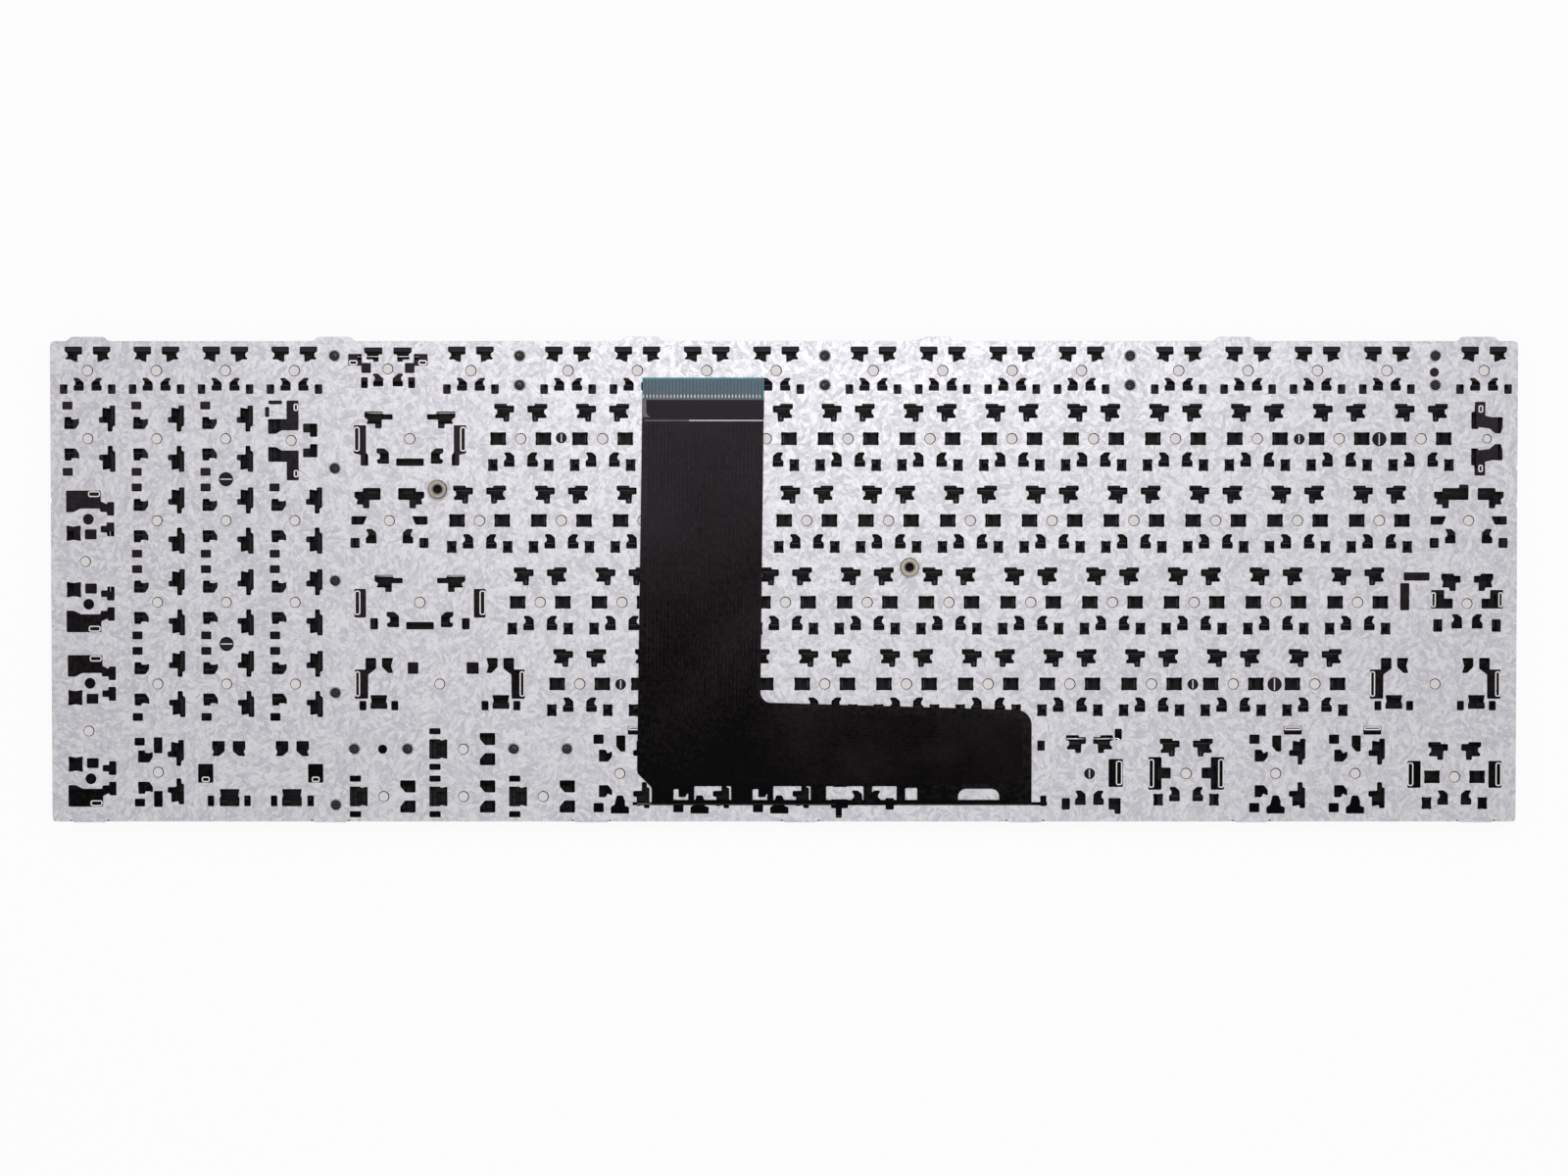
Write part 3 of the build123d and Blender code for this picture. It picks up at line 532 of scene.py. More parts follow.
clusters["function"] = Cluster([FUNCTION_HOOK, FUNCTION_LATCH, box_outline(-6.4, -4.75, -5.35, -3.25)],
                               vents=[(0, 0, 1.25)],
                               feet=[(-5.0, -1.6, 4.5, 4.75), (-3.0, -1.2, -3.6, -3.35)])
DELETE_HOOK = [(-5.45, 4.9), (-1.35, 4.9), (-1.35, 3.4), (-2.2, 3.4), (-2.2, 1.7), (-3.4, 1.7), (-3.4, 2.25),
               (-5.0, 2.25), (-4.7, 3.3), (-5.45, 3.9)]
DELETE_STEP = [(-9.15, 3.4), (-6.1, 3.4), (-6.1, 1.3), (-4.0, 1.3), (-4.0, -0.9), (-6.1, -0.9), (-6.1, 0.8),
               (-9.15, 0.8)]
clusters["delete"] = Cluster([DELETE_HOOK, DELETE_STEP, shifted(FUNCTION_LATCH, -0.2, 0.6),
                              box_outline(-6.2, -4.75, -4.4, -2.0)], vents=[(0, 0, 1.2)],
                             clips=[(-8.9, -7.2, 1.0, 1.9)])
print("drawn:", sorted(clusters))

# %% Number pad
PAD_HOOK = [(3.45, 7.2), (5.1, 6.9), (5.15, 7.65), (6.3, 7.65), (6.3, 3.05), (5.7, 2.85), (5.65, 1.7),
            (4.65, 1.7), (4.65, 3.7), (2.65, 3.75), (2.6, 4.9), (3.45, 5.05)]
PAD_LATCH = [(-5.35, 5.0), (-3.9, 5.0), (-3.85, 4.45), (-2.8, 4.4), (-2.1, 4.65), (-2.1, 3.5), (-2.9, 2.3),
             (-5.45, 2.3)]
PAD_WINDOW = box_outline(-5.85, -3.6, 6.85, 8.55)
clusters["pad"] = Cluster([PAD_HOOK, PAD_LATCH, PAD_WINDOW], "y", vents=[(0, 0, 1.2)],
                          feet=[(5.45, 5.7, 3.4, 7.3), (-5.2, -3.0, 3.2, 3.45)])
clusters["point"] = Cluster([shifted(PAD_HOOK, -0.4, -0.2), shifted(PAD_LATCH, 0.75, 0.0),
                             shifted(PAD_WINDOW, 0.4, -0.6), box_outline(-1.0, 0.9, 4.45, 8.05)],
                            "y", vents=[(0, 0, 1.2)])
NUM_LOCK_L = [(-6.1, 1.6), (-6.1, 4.9), (-1.8, 4.9), (-1.8, 9.2), (0.85, 9.2), (0.85, 2.4), (-3.0, 2.4),
              (-4.4, 1.6)]
NUM_LOCK_T = [(2.0, 3.85), (2.0, 1.9), (3.6, 1.9), (3.6, 0.9), (5.2, 0.9), (5.2, 3.85)]
clusters["num_lock"] = Cluster([NUM_LOCK_L, NUM_LOCK_T], "y",
                               [box_outline(-6.0, -3.0, 8.45, 9.2), box_outline(-6.8, -5.95, 5.5, 7.7)],
                               vents=[(-0.8, 0, 1.2)], clips=[(-0.1, 0.7, 7.0, 8.4)])
TALL_STEP = [(-4.8, 16.4), (3.15, 16.4), (3.15, 13.9), (4.65, 13.2), (4.8, 13.75), (6.25, 13.75),
             (6.25, 10.7), (4.7, 10.7), (4.65, 11.55), (3.15, 11.55), (3.05, 12.35), (-1.5, 12.35),
             (-3.2, 11.5), (-4.8, 11.5)]
TALL_HALVES = [TALL_STEP, waisted(-4.75, -1.5, 4.8, 8.3, 0.1, 0.3), box_outline(-0.45, 2.15, 5.2, 7.4),
               [(3.2, 8.2), (4.6, 8.2), (4.6, 9.0), (6.25, 9.0), (6.25, 5.9), (4.7, 5.9), (4.7, 6.8),
                (3.2, 6.8)]]
clusters["plus"] = Cluster(TALL_HALVES, "y", vents=[(-0.4, 0, 1.2)], clips=[(0.4, 2.9, 15.1, 16.2)])
ENTER_RISE = 1.2
clusters["pad_enter"] = Cluster([shifted(half, 0, ENTER_RISE) for half in TALL_HALVES], "y",
                                vents=[(0, 0, 1.2)], clips=[(0.4, 2.9, 15.1 + ENTER_RISE, 16.2 + ENTER_RISE)])
ZERO_HOOK = [(-11.2, 7.2), (-8.4, 7.2), (-8.4, 4.9), (-9.7, 3.8), (-11.2, 3.8), (-10.8, 4.8), (-11.2, 5.4)]
ZERO_LATCH = [(-9.5, -4.0), (-5.0, -4.0), (-5.3, -5.6), (-5.0, -6.0), (-5.0, -7.9), (-9.5, -7.9),
              (-9.5, -6.0), (-9.2, -5.6)]
clusters["zero"] = Cluster([ZERO_HOOK, [(-14.8 - x, y) for x, y in ZERO_HOOK], ZERO_LATCH,
                            box_outline(-14.5, -11.1, -2.4, 1.85), box_outline(-12.3, -10.9, -7.9, -5.5),
                            box_outline(-3.8, -2.4, -7.9, -5.5)],
                           clips=[(-13.6, -12.0, -2.2, -1.2)])
print("drawn:", sorted(clusters))

# %% Long keys
WIDE_HOOK = [(-10.5, 6.25), (-6.3, 6.25), (-6.2, 5.6), (-4.05, 5.6), (-4.05, 4.5), (-6.6, 4.5),
             (-6.6, 2.45), (-8.0, 2.45), (-8.0, 3.5), (-10.0, 3.5), (-9.6, 4.4), (-10.5, 5.0)]
WIDE_LATCH = [(-7.7, -2.3), (-6.0, -2.3), (-4.95, -3.2), (-4.9, -5.75), (-7.4, -5.75), (-7.7, -5.0),
              (-6.9, -4.6), (-6.9, -3.6), (-7.7, -3.2)]
WIDE_BAR = box_outline(-3.15, 3.15, -6.25, -4.65)
BACKSPACE_STEP = [(-13.0, 3.05), (-10.25, 3.05), (-10.25, -3.3), (-9.75, -3.8), (-9.75, -6.2), (-11.4, -6.2),
                  (-11.4, -3.7), (-13.0, -3.3)]
clusters["backspace"] = Cluster([WIDE_HOOK, WIDE_LATCH, BACKSPACE_STEP], alone=[WIDE_BAR],
                                vents=[(0, 0, 1.24)], clips=[(-12.9, -11.8, -2.8, 2.6)])
clusters["enter"] = Cluster([WIDE_HOOK, WIDE_LATCH, box_outline(-15.2, -12.6, -3.5, 3.05),
                             box_outline(-11.5, -9.8, -6.25, -3.75)], alone=[WIDE_BAR], vents=[(0, 0, 1.24)],
                            clips=[(-15.1, -14.0, -2.8, 2.6)])
TAB_HOOK = [(-2.1, 7.5), (-6.1, 7.5), (-6.1, 6.65), (-8.05, 6.65), (-8.05, 5.4), (-7.3, 4.9), (-7.6, 3.8),
            (-6.1, 3.8), (-6.1, 2.9), (-4.7, 2.9), (-4.7, 4.85), (-2.1, 4.85)]
TAB_UPRIGHT = [(-0.15, 8.3), (-2.2, 8.3), (-2.2, 7.5)] + TAB_HOOK[1:-1] + [(-0.15, 4.85)]
TAB_HALVES = [shifted(LATCH, -1.55, 1.2), [(-8.8, 0.95), (-5.3, 0.95), (-6.1, -0.9), (-8.8, -0.9)],
              box_outline(-9.0, -7.0, -6.3, -4.1)]
clusters["backslash"] = Cluster([TAB_HOOK] + TAB_HALVES, vents=[(0, 0, 1.2)])
clusters["tab"] = Cluster(TAB_HALVES, alone=[TAB_UPRIGHT, mirrored(TAB_HOOK, "x")], vents=[(0, 0, 1.2)])
CAPS_HOOK = [(-6.0, 6.9), (-3.2, 6.9), (-3.1, 6.4), (-1.6, 6.4), (-1.6, 4.9), (-2.7, 4.9), (-2.7, 3.0),
             (-4.0, 3.0), (-4.2, 3.8), (-5.8, 3.8), (-5.5, 5.0), (-6.0, 5.8)]
CAPS_L = [(-8.3, 3.1), (-5.4, 3.1), (-5.4, 1.1), (-3.4, 1.1), (-3.4, -1.1), (-8.3, -1.1)]
clusters["caps"] = Cluster([CAPS_HOOK, CAPS_L, shifted(LATCH, 0.35, 0.7),
                            box_outline(-7.8, -5.8, -6.5, -3.7)],
                           alone=[box_outline(-14.7, -8.8, 5.4, 7.2), box_outline(-15.5, -13.5, -1.5, 4.7)],
                           vents=[(0, 0, 1.2)], clips=[(-8.2, -7.4, -0.7, 2.5)])
SHIFT_HOOK = [(-3.0, 6.0), (-0.65, 6.0), (-0.65, 3.6), (-2.5, 2.2), (-2.55, -3.4), (-5.5, -3.4),
              (-5.5, 3.3), (-3.0, 3.3)]
SHIFT_LATCH = [(-1.9, -2.65), (1.9, -2.65), (1.6, -4.2), (1.9, -4.6), (1.9, -5.75), (-1.9, -5.75),
               (-1.9, -4.6), (-1.6, -4.2)]
SHIFT_SLOTS = [SHIFT_HOOK, [(0.8, 6.0), (3.3, 6.0), (2.8, 4.2), (3.3, 2.6), (2.2, 2.6), (0.8, 4.0)],
               SHIFT_LATCH, box_outline(-4.45, -2.95, -6.1, -4.0), box_outline(2.95, 4.45, -6.1, -4.0)]


def shift_cluster(spread, windows):
    halves = [shifted(outline, -spread, 0) for outline in SHIFT_SLOTS]
    return Cluster(halves, alone=windows, vents=[(0, 0, 1.2)],
                   clips=[(-5.4 - spread, -4.5 - spread, -2.8, 2.8)])


clusters["right_shift"] = shift_cluster(14.2, [box_outline(-7.4, -5.05, 2.4, 5.0),
                                               box_outline(6.3, 9.0, 2.4, 5.0)])
clusters["left_shift"] = shift_cluster(9.6, [])
print("drawn:", sorted(clusters))

# %% Lower row, arrows and the narrow key
clusters["left_control"] = Cluster([HOOK, LATCH, SMALL_WINDOW, SIDE_WINDOW,
                                    box_outline(-10.9, -7.95, -2.5, 3.65)],
                                   vents=[(0, 0, 1.24)], clips=[(-10.8, -9.7, -2.0, 3.2)])
ALT_T = [(-8.75, 3.75), (-5.8, 3.75), (-5.8, 1.3), (-3.65, 1.3), (-3.65, -1.1), (-5.8, -1.1), (-5.8, -3.75),
         (-8.75, -3.75)]
clusters["left_alt"] = Cluster([HOOK, LATCH, SMALL_WINDOW, ALT_T], vents=[(0, 0, 1.24)],
                               clips=[(-8.65, -7.6, -3.2, 3.2)], feet=[HOOK_FOOT, STEM_FOOT, LATCH_FOOT])
SPACE_REACH = 26.0
SPACE_HALVES = [shifted(HOOK, 0.7, 0.8), shifted(LATCH, 0.6, -0.85)]
SPACE_SIDE = [box_outline(4.5, 7.7, -3.1, 3.3), box_outline(-6.4, -4.6, -8.4, -5.8),
              box_outline(5.9, 7.45, 7.95, 10.35), box_outline(-12.1, -10.5, 5.35, 7.6)]
SPACE_FOOT = [(4.5, -5.8), (7.2, -5.8), (7.2, -9.4), (5.9, -9.4), (5.9, -8.4), (4.5, -8.4)]
SPACE_T = [(-8.1, -6.1), (-4.25, -6.1), (-4.25, -8.05), (-5.7, -8.05), (-5.7, -10.3), (-7.0, -10.3),
           (-7.0, -8.05), (-8.1, -8.05)]
space_scissor = both_sides(SPACE_HALVES, "x") + SPACE_SIDE
clusters["space"] = Cluster([shifted(outline, SPACE_REACH, 0) for outline in space_scissor],
                            alone=[shifted(SPACE_FOOT, SPACE_REACH, 0), shifted(SPACE_T, -SPACE_REACH, 0)],
                            clips=[(6.3 + SPACE_REACH, 7.5 + SPACE_REACH, -2.6, 2.8)])
FN_HOOK = shifted(PAD_HOOK, 0.5, 0.4)
FN_LATCH = shifted([(-5.35, 5.0), (-3.9, 5.0), (-3.4, 4.1), (-2.4, 4.6), (-2.4, 3.4), (-3.3, 2.3),
                    (-5.35, 2.3)], 0.5, 0.5)
FN_BOOT = [(-0.7, -5.2), (0.6, -5.2), (1.1, -6.4), (1.1, -7.6), (2.05, -7.9), (2.05, -9.3), (-2.1, -9.3),
           (-2.1, -7.9), (-1.2, -7.3)]
FN_ALONE = [[(-0.8, 8.8), (1.2, 8.8), (1.2, 5.15), (0.2, 5.15), (-0.8, 6.3)], FN_BOOT,
            box_outline(1.9, 5.95, 9.1, 11.0)]
clusters["fn"] = Cluster([FN_HOOK, FN_LATCH, box_outline(-6.1, -3.85, 6.95, 9.0)], "y", FN_ALONE,
                         vents=[(0, 0, 1.2)], clips=[(2.1, 5.75, 10.2, 10.8)])
for name in ("system", "right_alt", "menu", "right_control"):
    clusters[name] = clusters["fn"]
ARROW_HOOK = [(3.85, 3.7), (7.3, 3.7), (7.3, 1.0), (5.0, 1.0), (3.85, 2.4)]
ARROW_BLOCK = [(-7.9, -2.25), (-5.6, -2.25), (-5.2, -1.9), (-3.85, -2.25), (-3.85, 2.25), (-5.2, 1.9),
               (-5.6, 2.25), (-7.9, 2.25)]
clusters["arrow_up"] = Cluster([ARROW_HOOK, box_outline(-7.9, -5.4, 3.5, 4.8)], "y", [ARROW_BLOCK],
                               vents=[(0, 0, 1.2)])
for name in ("arrow_left", "arrow_down", "arrow_right"):
    clusters[name] = clusters["arrow_up"]
GRAVE_HOOK = [(-2.85, 8.5), (-0.5, 8.5), (-0.55, 5.3), (1.15, 4.9), (3.55, 4.95), (3.5, 2.6), (3.1, 1.3),
              (1.85, 1.3), (0.55, 2.45), (-2.05, 2.75), (-2.15, 2.3), (-3.65, 2.3), (-3.65, 6.1), (-2.9, 6.2)]
clusters["grave"] = Cluster([GRAVE_HOOK], "y", vents=[(0, 0, 0.98)], clips=[(-1.9, -1.1, 6.2, 7.6)])
print("drawn:", sorted(clusters))

# %% Set the clusters out over the keys
NUDGES = {"num_lock": (0.0, -0.4), "plus": (-0.3, 0.0), "pad_enter": (-0.1, 0.4), "point": (0.0, 0.3),
          "zero": (-0.2, 0.3), "delete": (0.0, 0.4), "caps": (2.8, -0.3), "tab": (0.6, 0.0),
          "left_shift": (0.4, 0.0), "left_control": (0.4, -0.8), "arrow_left": (0.7, 0.3),
          "arrow_down": (0.7, 0.3), "arrow_right": (0.7, 0.3), "arrow_up": (0.7, 0.0)}


def set_out(boxes_or_outlines, cluster, x, y):
    both = both_sides(boxes_or_outlines, cluster.mirror)
    return [shifted(outline, x, y) for outline in both]


slots = []
vents = []
clip_outlines = []
foot_outlines = []
for name, x, y in key_places:
    cluster = clusters[name]
    dx, dy = NUDGES.get(name, (0.0, 0.0))
    x, y = x + dx, y + dy
    slots += set_out(cluster.halves, cluster, x, y)
    slots += [shifted(outline, x, y) for outline in cluster.alone]
    vents += [(x + vx, y + vy, radius) for vx, vy, radius in cluster.vents]
    clip_outlines += set_out([box_outline(*clip) for clip in cluster.clips], cluster, x, y)
    foot_outlines += set_out([box_outline(*foot) for foot in cluster.feet], cluster, x, y)
print(len(slots), "slots,", len(vents), "vents,", len(clip_outlines), "clips,", len(foot_outlines),
      "link feet")

# %% [markdown]
# ## The back plate
# The plate is one flat curve: its edge and every hole are closed splines, and a filled 2D curve
# treats the inner ones as holes by itself. Extrude gives it the sheet's thickness, and a tiny bevel
# gives the punched edges a line of light. A Boolean cut for each slot would do too, but hundreds of
# cuts are slow. The curve is made a mesh at once, in its final place.

# %% Edge of the plate
TAB_RISE = 1.0
TAB_BASE, TAB_TIP = 9.6, 7.7
TAB_MIDDLES = (-161.6, -104.35, -33.0, 34.5, 104.5, 161.05)
NOTCH_MIDDLES = (-161.6, -105.6, -44.8, 3.8, 56.1, 108.8, 161.05)
NOTCH_SPREAD = 4.25
NOTCH_HALF = 0.5
LIP = 0.2
SIDE_NOTCHES = ((1, 26.1), (1, 17.5), (-1, 18.4))
PLATE_CORNER = 1.2


def plate_edge():
    left, right = plate_low.x / MM, plate_high.x / MM
    bottom, top = plate_low.y / MM, plate_high.y / MM - TAB_RISE
    points = [(left, bottom + LIP)]
    for middle in NOTCH_MIDDLES:
        first, last = middle - NOTCH_SPREAD, middle + NOTCH_SPREAD
        deep = bottom + LIP + NOTCH_HALF
        points += [(first - NOTCH_HALF, bottom + LIP), (first, deep), (first + NOTCH_HALF, bottom)]
        points += [(last - NOTCH_HALF, bottom), (last, deep), (last + NOTCH_HALF, bottom + LIP)]
    points.append((right, bottom + LIP))
    for y in sorted(y for side, y in SIDE_NOTCHES if side > 0):
        points += [(right, y - NOTCH_HALF), (right - NOTCH_HALF, y), (right, y + NOTCH_HALF)]
    points.append((right, top))
    for middle in reversed(TAB_MIDDLES):
        points += [(middle + TAB_BASE / 2, top), (middle + TAB_TIP / 2, top + TAB_RISE)]
        points += [(middle - TAB_TIP / 2, top + TAB_RISE), (middle - TAB_BASE / 2, top)]
    points.append((left, top))
    for y in [y for side, y in SIDE_NOTCHES if side < 0]:
        points += [(left, y + NOTCH_HALF), (left + NOTCH_HALF, y), (left, y - NOTCH_HALF)]
    return rounded(points, PLATE_CORNER, 3)


print("points along the edge:", len(plate_edge()))

# %% Stakes, standoffs and other round holes
STAKE_HOLE = 1.35
COUNTERSINK_DEPTH = 0.12
LUMP_RADIUS = 0.92
STANDOFF_HOLE = 1.7
LOCATING_HOLES = [(-93.4, -39.4, 1.0), (150.9, 48.2, 1.0), (-161.6, 14.1, 1.2), (-161.6, -5.65, 1.2),
                  (-161.4, -24.05, 1.2), (-161.3, -46.3, 1.2)]
SLIT_HOLES = [(-129.6, 23.4, 1.6, "across"), (-129.6, -14.9, 1.6, "across"), (-51.7, 33.0, 1.2, "along"),
              (-38.0, -24.3, 1.2, "along"), (119.6, 32.7, 1.2, "along"), (95.1, -24.3, 1.2, "along"),
              (114.1, -24.3, 1.6, "along"), (138.2, 32.7, 1.6, "along"), (71.1, -45.1, 1.2, "along")]
WIRE_SLOT = box_outline(59.7, 61.0, -52.6, -50.3)


def stake_middles():
    """Middles of the stake heads: the highest points of the frame, sorted into rings."""
    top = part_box("bezel_frame")[1].z
    rings = []
    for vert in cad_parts["bezel_frame"].data.vertices:
        if vert.co.z < top - WELD:
            continue
        for ring in rings:
            if (ring[0] - vert.co).length < 2 * STAKE_HOLE * MM:
                ring.append(vert.co)
                break
        else:
            rings.append([vert.co])
    return [middle_and_size(ring)[:2] for ring in rings]


def standoff_middles():
    found = []
    for solid in separate_solids("threaded_standoffs"):
        found.append(middle_and_size([v.co for v in solid.verts])[:2])
        solid.free()
    return found


stakes = stake_middles()
standoffs = standoff_middles()
print(len(stakes), "stakes,", len(standoffs), "standoffs")

# %% Slit for the tail
SLIT_LOW, SLIT_HIGH = -52.4, -51.8
SLIT_LEFT, SLIT_RIGHT = -35.2, 61.2


def beyond(outline, level, side):
    """Stretches of an outline beyond a level line, each from left to right; side is 1 above, -1 below."""
    stretches = []
    count = len(outline)
    for first in range(count):
        if side * (outline[first - 1].y - level) >= 0 or side * (outline[first].y - level) < 0:
            continue
        last = first
        while side * (outline[(last + 1) % count].y - level) >= 0:
            last += 1
        stretch = [outline[i % count] for i in range(first - 1, last + 2)]
        for end, inner in ((0, 1), (-1, -2)):
            share = (level - stretch[inner].y) / (stretch[end].y - stretch[inner].y)
            stretch[end] = stretch[inner].lerp(stretch[end], share)
        stretches.append(stretch if stretch[0].x < stretch[-1].x else stretch[::-1])
    return stretches


def slit_with_slots(crossed):
    """One outline round the slit and all the slots that run into it."""
    lower = [stretch for outline in crossed for stretch in beyond(outline, SLIT_LOW, -1)]
    upper = [stretch for outline in crossed for stretch in beyond(outline, SLIT_HIGH, 1)]
    points = [Vector((SLIT_LEFT, SLIT_LOW))]
    for stretch in sorted(lower, key=lambda stretch: stretch[0].x):
        points += stretch
    points += [Vector((SLIT_RIGHT, SLIT_LOW)), Vector((SLIT_RIGHT, SLIT_HIGH))]
    for stretch in sorted(upper, key=lambda stretch: -stretch[0].x):
        points += stretch[::-1]
    return points + [Vector((SLIT_LEFT, SLIT_HIGH))]


def runs_into_slit(outline):
    xs = [x for x, y in outline]
    ys = [y for x, y in outline]
    return max(xs) > SLIT_LEFT and min(xs) < SLIT_RIGHT and min(ys) < SLIT_HIGH and max(ys) > SLIT_LOW


print("slots that run into the slit:", len([outline for outline in slots if runs_into_slit(outline)]))

# %% Make the plate
SLOT_CORNER = 0.14
PUNCH_BEVEL = 0.04
PUNCH_EASE = 0.06


def add_line(curve, points, z, closed):
    """A line through points in mm, at height z."""
    spline = curve.splines.new("POLY")
    spline.points.add(len(points) - 1)
    for point, (x, y) in zip(spline.points, points):
        point.co = (x * MM, y * MM, z, 1)
    spline.use_cyclic_u = closed


def curve_mesh(curve):
    """The mesh of a curve, which is then removed."""
    holder = link_to_scene(bpy.data.objects.new("outlines", curve))
    bpy.context.view_layer.update()
    mesh = bpy.data.meshes.new_from_object(holder)
    bpy.data.objects.remove(holder)
    bpy.data.curves.remove(curve)
    return mesh


def flat_mesh(outlines, z_low, z_high, bevel, ease=0.0):
    """A plate from closed outlines in mm; inner outlines are holes, which ease makes wider."""
    curve = bpy.data.curves.new("outlines", "CURVE")
    curve.dimensions = "2D"
    curve.fill_mode = "BOTH"
    curve.extrude = (z_high - z_low) / 2 - bevel * MM
    curve.bevel_depth = bevel * MM
    curve.bevel_resolution = 0
    curve.offset = -(bevel + ease) * MM
    for outline in outlines:
        add_line(curve, outline, 0, True)
    mesh = curve_mesh(curve)
    mesh.transform(Matrix.Translation((0, 0, (z_low + z_high) / 2)))
    return mesh


def add_piece(name, bm, material, body="base", smooth_angle=None):
    mesh = bpy.data.meshes.new(name)
    bm.to_mesh(mesh)
    bm.free()
    mesh.materials.clear()
    mesh.materials.append(material)
    if smooth_angle is not None:
        mesh.polygons.foreach_set("use_smooth", [True] * len(mesh.polygons))
        mesh.set_sharp_from_angle(angle=math.radians(smooth_angle))
    piece = link_to_scene(bpy.data.objects.new(name, mesh))
    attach(piece, body)
    return piece


def turned(bm, section, x, y, steps=24):
    """A half section (radius, height) in mm, turned about the vertical through (x, y)."""
    verts = [bm.verts.new(((x + r) * MM, y * MM, z)) for r, z in section]
    edges = [bm.edges.new(pair) for pair in zip(verts, verts[1:])]
    bmesh.ops.spin(bm, geom=verts + edges, cent=(x * MM, y * MM, 0), axis=(0, 0, 1), angle=2 * math.pi,
                   steps=steps, use_merge=True)


def plate_holes():
    punched = [rounded(outline, SLOT_CORNER) for outline in slots + [WIRE_SLOT]]
    holes = [outline for outline in punched if not runs_into_slit(outline)]
    holes.append(slit_with_slots([outline for outline in punched if runs_into_slit(outline)]))
    holes += [circle(x, y, radius) for x, y, radius in vents + LOCATING_HOLES]
    holes += [circle(x, y, radius) for x, y, radius, way in SLIT_HOLES]
    holes += [circle(x, y, STAKE_HOLE) for x, y in stakes]
    holes += [circle(x, y, STANDOFF_HOLE) for x, y in standoffs]
    return holes


def make_plate():
    bm = bmesh.new()
    bm.from_mesh(flat_mesh([plate_edge()] + plate_holes(), Z_PLATE, Z_BACK, PUNCH_BEVEL, PUNCH_EASE))
    for x, y in stakes:
        floor = Z_BACK - COUNTERSINK_DEPTH * MM
        wall = [(STAKE_HOLE, Z_PLATE), (STAKE_HOLE, Z_BACK)]
        turned(bm, wall + [(LUMP_RADIUS, floor), (LUMP_RADIUS, Z_PLATE)], x, y)
    bmesh.ops.remove_doubles(bm, verts=bm.verts, dist=WELD)
    plate = add_piece("back_plate_sheet", bm, zinc)
    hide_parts("back_plate")
    return plate


plate = make_plate()
print("plate faces:", len(plate.data.polygons))

# %% [markdown]
# ## What shows in the holes
# Under each vent lies milky film, a little below the sheet, so the vent reads as a pale disc with a
# thin dark ring. The slots show the black feet of the folding links and, at the long keys, bright bent
# wire. A few round holes show grey film with a bright line across. All of these are small and many,
# so each is a simple form with a bevelled edge.

# %% Vent discs
VENT_GAP = 0.1
VENT_UNDERCUT = 0.4
VENT_LEAN = (-0.05, -0.03)
VENT_TOP = Z_BACK - 0.03 * MM


def vent_discs():
    bm = bmesh.new()
    for x, y, radius in vents:
        edge = radius - VENT_GAP
        section = [(0.0, VENT_TOP), (edge, VENT_TOP), (edge - VENT_UNDERCUT, Z_PLATE), (0.0, Z_PLATE)]
        turned(bm, section, x + VENT_LEAN[0], y + VENT_LEAN[1], 20)
    bmesh.ops.remove_doubles(bm, verts=bm.verts, dist=WELD)
    bmesh.ops.recalc_face_normals(bm, faces=bm.faces)
    return add_piece("vent_film", bm, film_clear, smooth_angle=30)


print("vent faces:", len(vent_discs().data.polygons))

# %% Small bevelled blocks
BLOCK_BEVEL = 0.08
FOOT_DROP, FOOT_RISE = 0.2, 0.16


def bevelled_block(bm, outline, z_low, z_high, bevel):
    """A block over a four-cornered outline in mm, with its upper edges bevelled."""
    xs = [x for x, y in outline]
    ys = [y for x, y in outline]
    middle = ((min(xs) + max(xs)) / 2 * MM, (min(ys) + max(ys)) / 2 * MM, (z_low + z_high) / 2)
    size = ((max(xs) - min(xs)) * MM, (max(ys) - min(ys)) * MM, z_high - z_low, 1)
    made = bmesh.ops.create_cube(bm, size=1.0, matrix=Matrix.Translation(middle) @ Matrix.Diagonal(size))
    edges = {edge for vert in made["verts"] for edge in vert.link_edges}
    upper = [edge for edge in edges if all(vert.co.z > middle[2] for vert in edge.verts)]
    bmesh.ops.bevel(bm, geom=upper, offset=bevel * MM, affect="EDGES", segments=1, profile=0.5, material=-1)


def link_feet():
    bm = bmesh.new()
    for outline in foot_outlines:
        bevelled_block(bm, outline, Z_PLATE - FOOT_DROP * MM, Z_PLATE + FOOT_RISE * MM, BLOCK_BEVEL)
    return add_piece("link_feet", bm, foot_plastic_with_painted_highlight)


print("link foot faces:", len(link_feet().data.polygons))

# %% Bright wire in the slots of the long keys
CLIP_WIRE = 0.24
CLIP_CORNER = 0.5
CLIP_RISE = 0.1


def wire_loops():
    curve = bpy.data.curves.new("loops", "CURVE")
    curve.dimensions = "3D"
    curve.bevel_depth = CLIP_WIRE * MM
    curve.bevel_resolution = 1
    for outline in clip_outlines:
        add_line(curve, rounded(outline, CLIP_CORNER, 3), Z_PLATE + CLIP_RISE * MM, True)
    bm = bmesh.new()
    bm.from_mesh(curve_mesh(curve))
    return add_piece("wire_clips", bm, steel, smooth_angle=40)


print("wire loop faces:", len(wire_loops().data.polygons))

# %% Round holes with a bright line
DISC_GAP = 0.05
DISC_EDGE = 0.1
DISC_RISE = 0.12
LINE_HALF = 0.14
LINE_GAP = 0.25
LINE_RISE = 0.2
LINE_BEVEL = 0.05


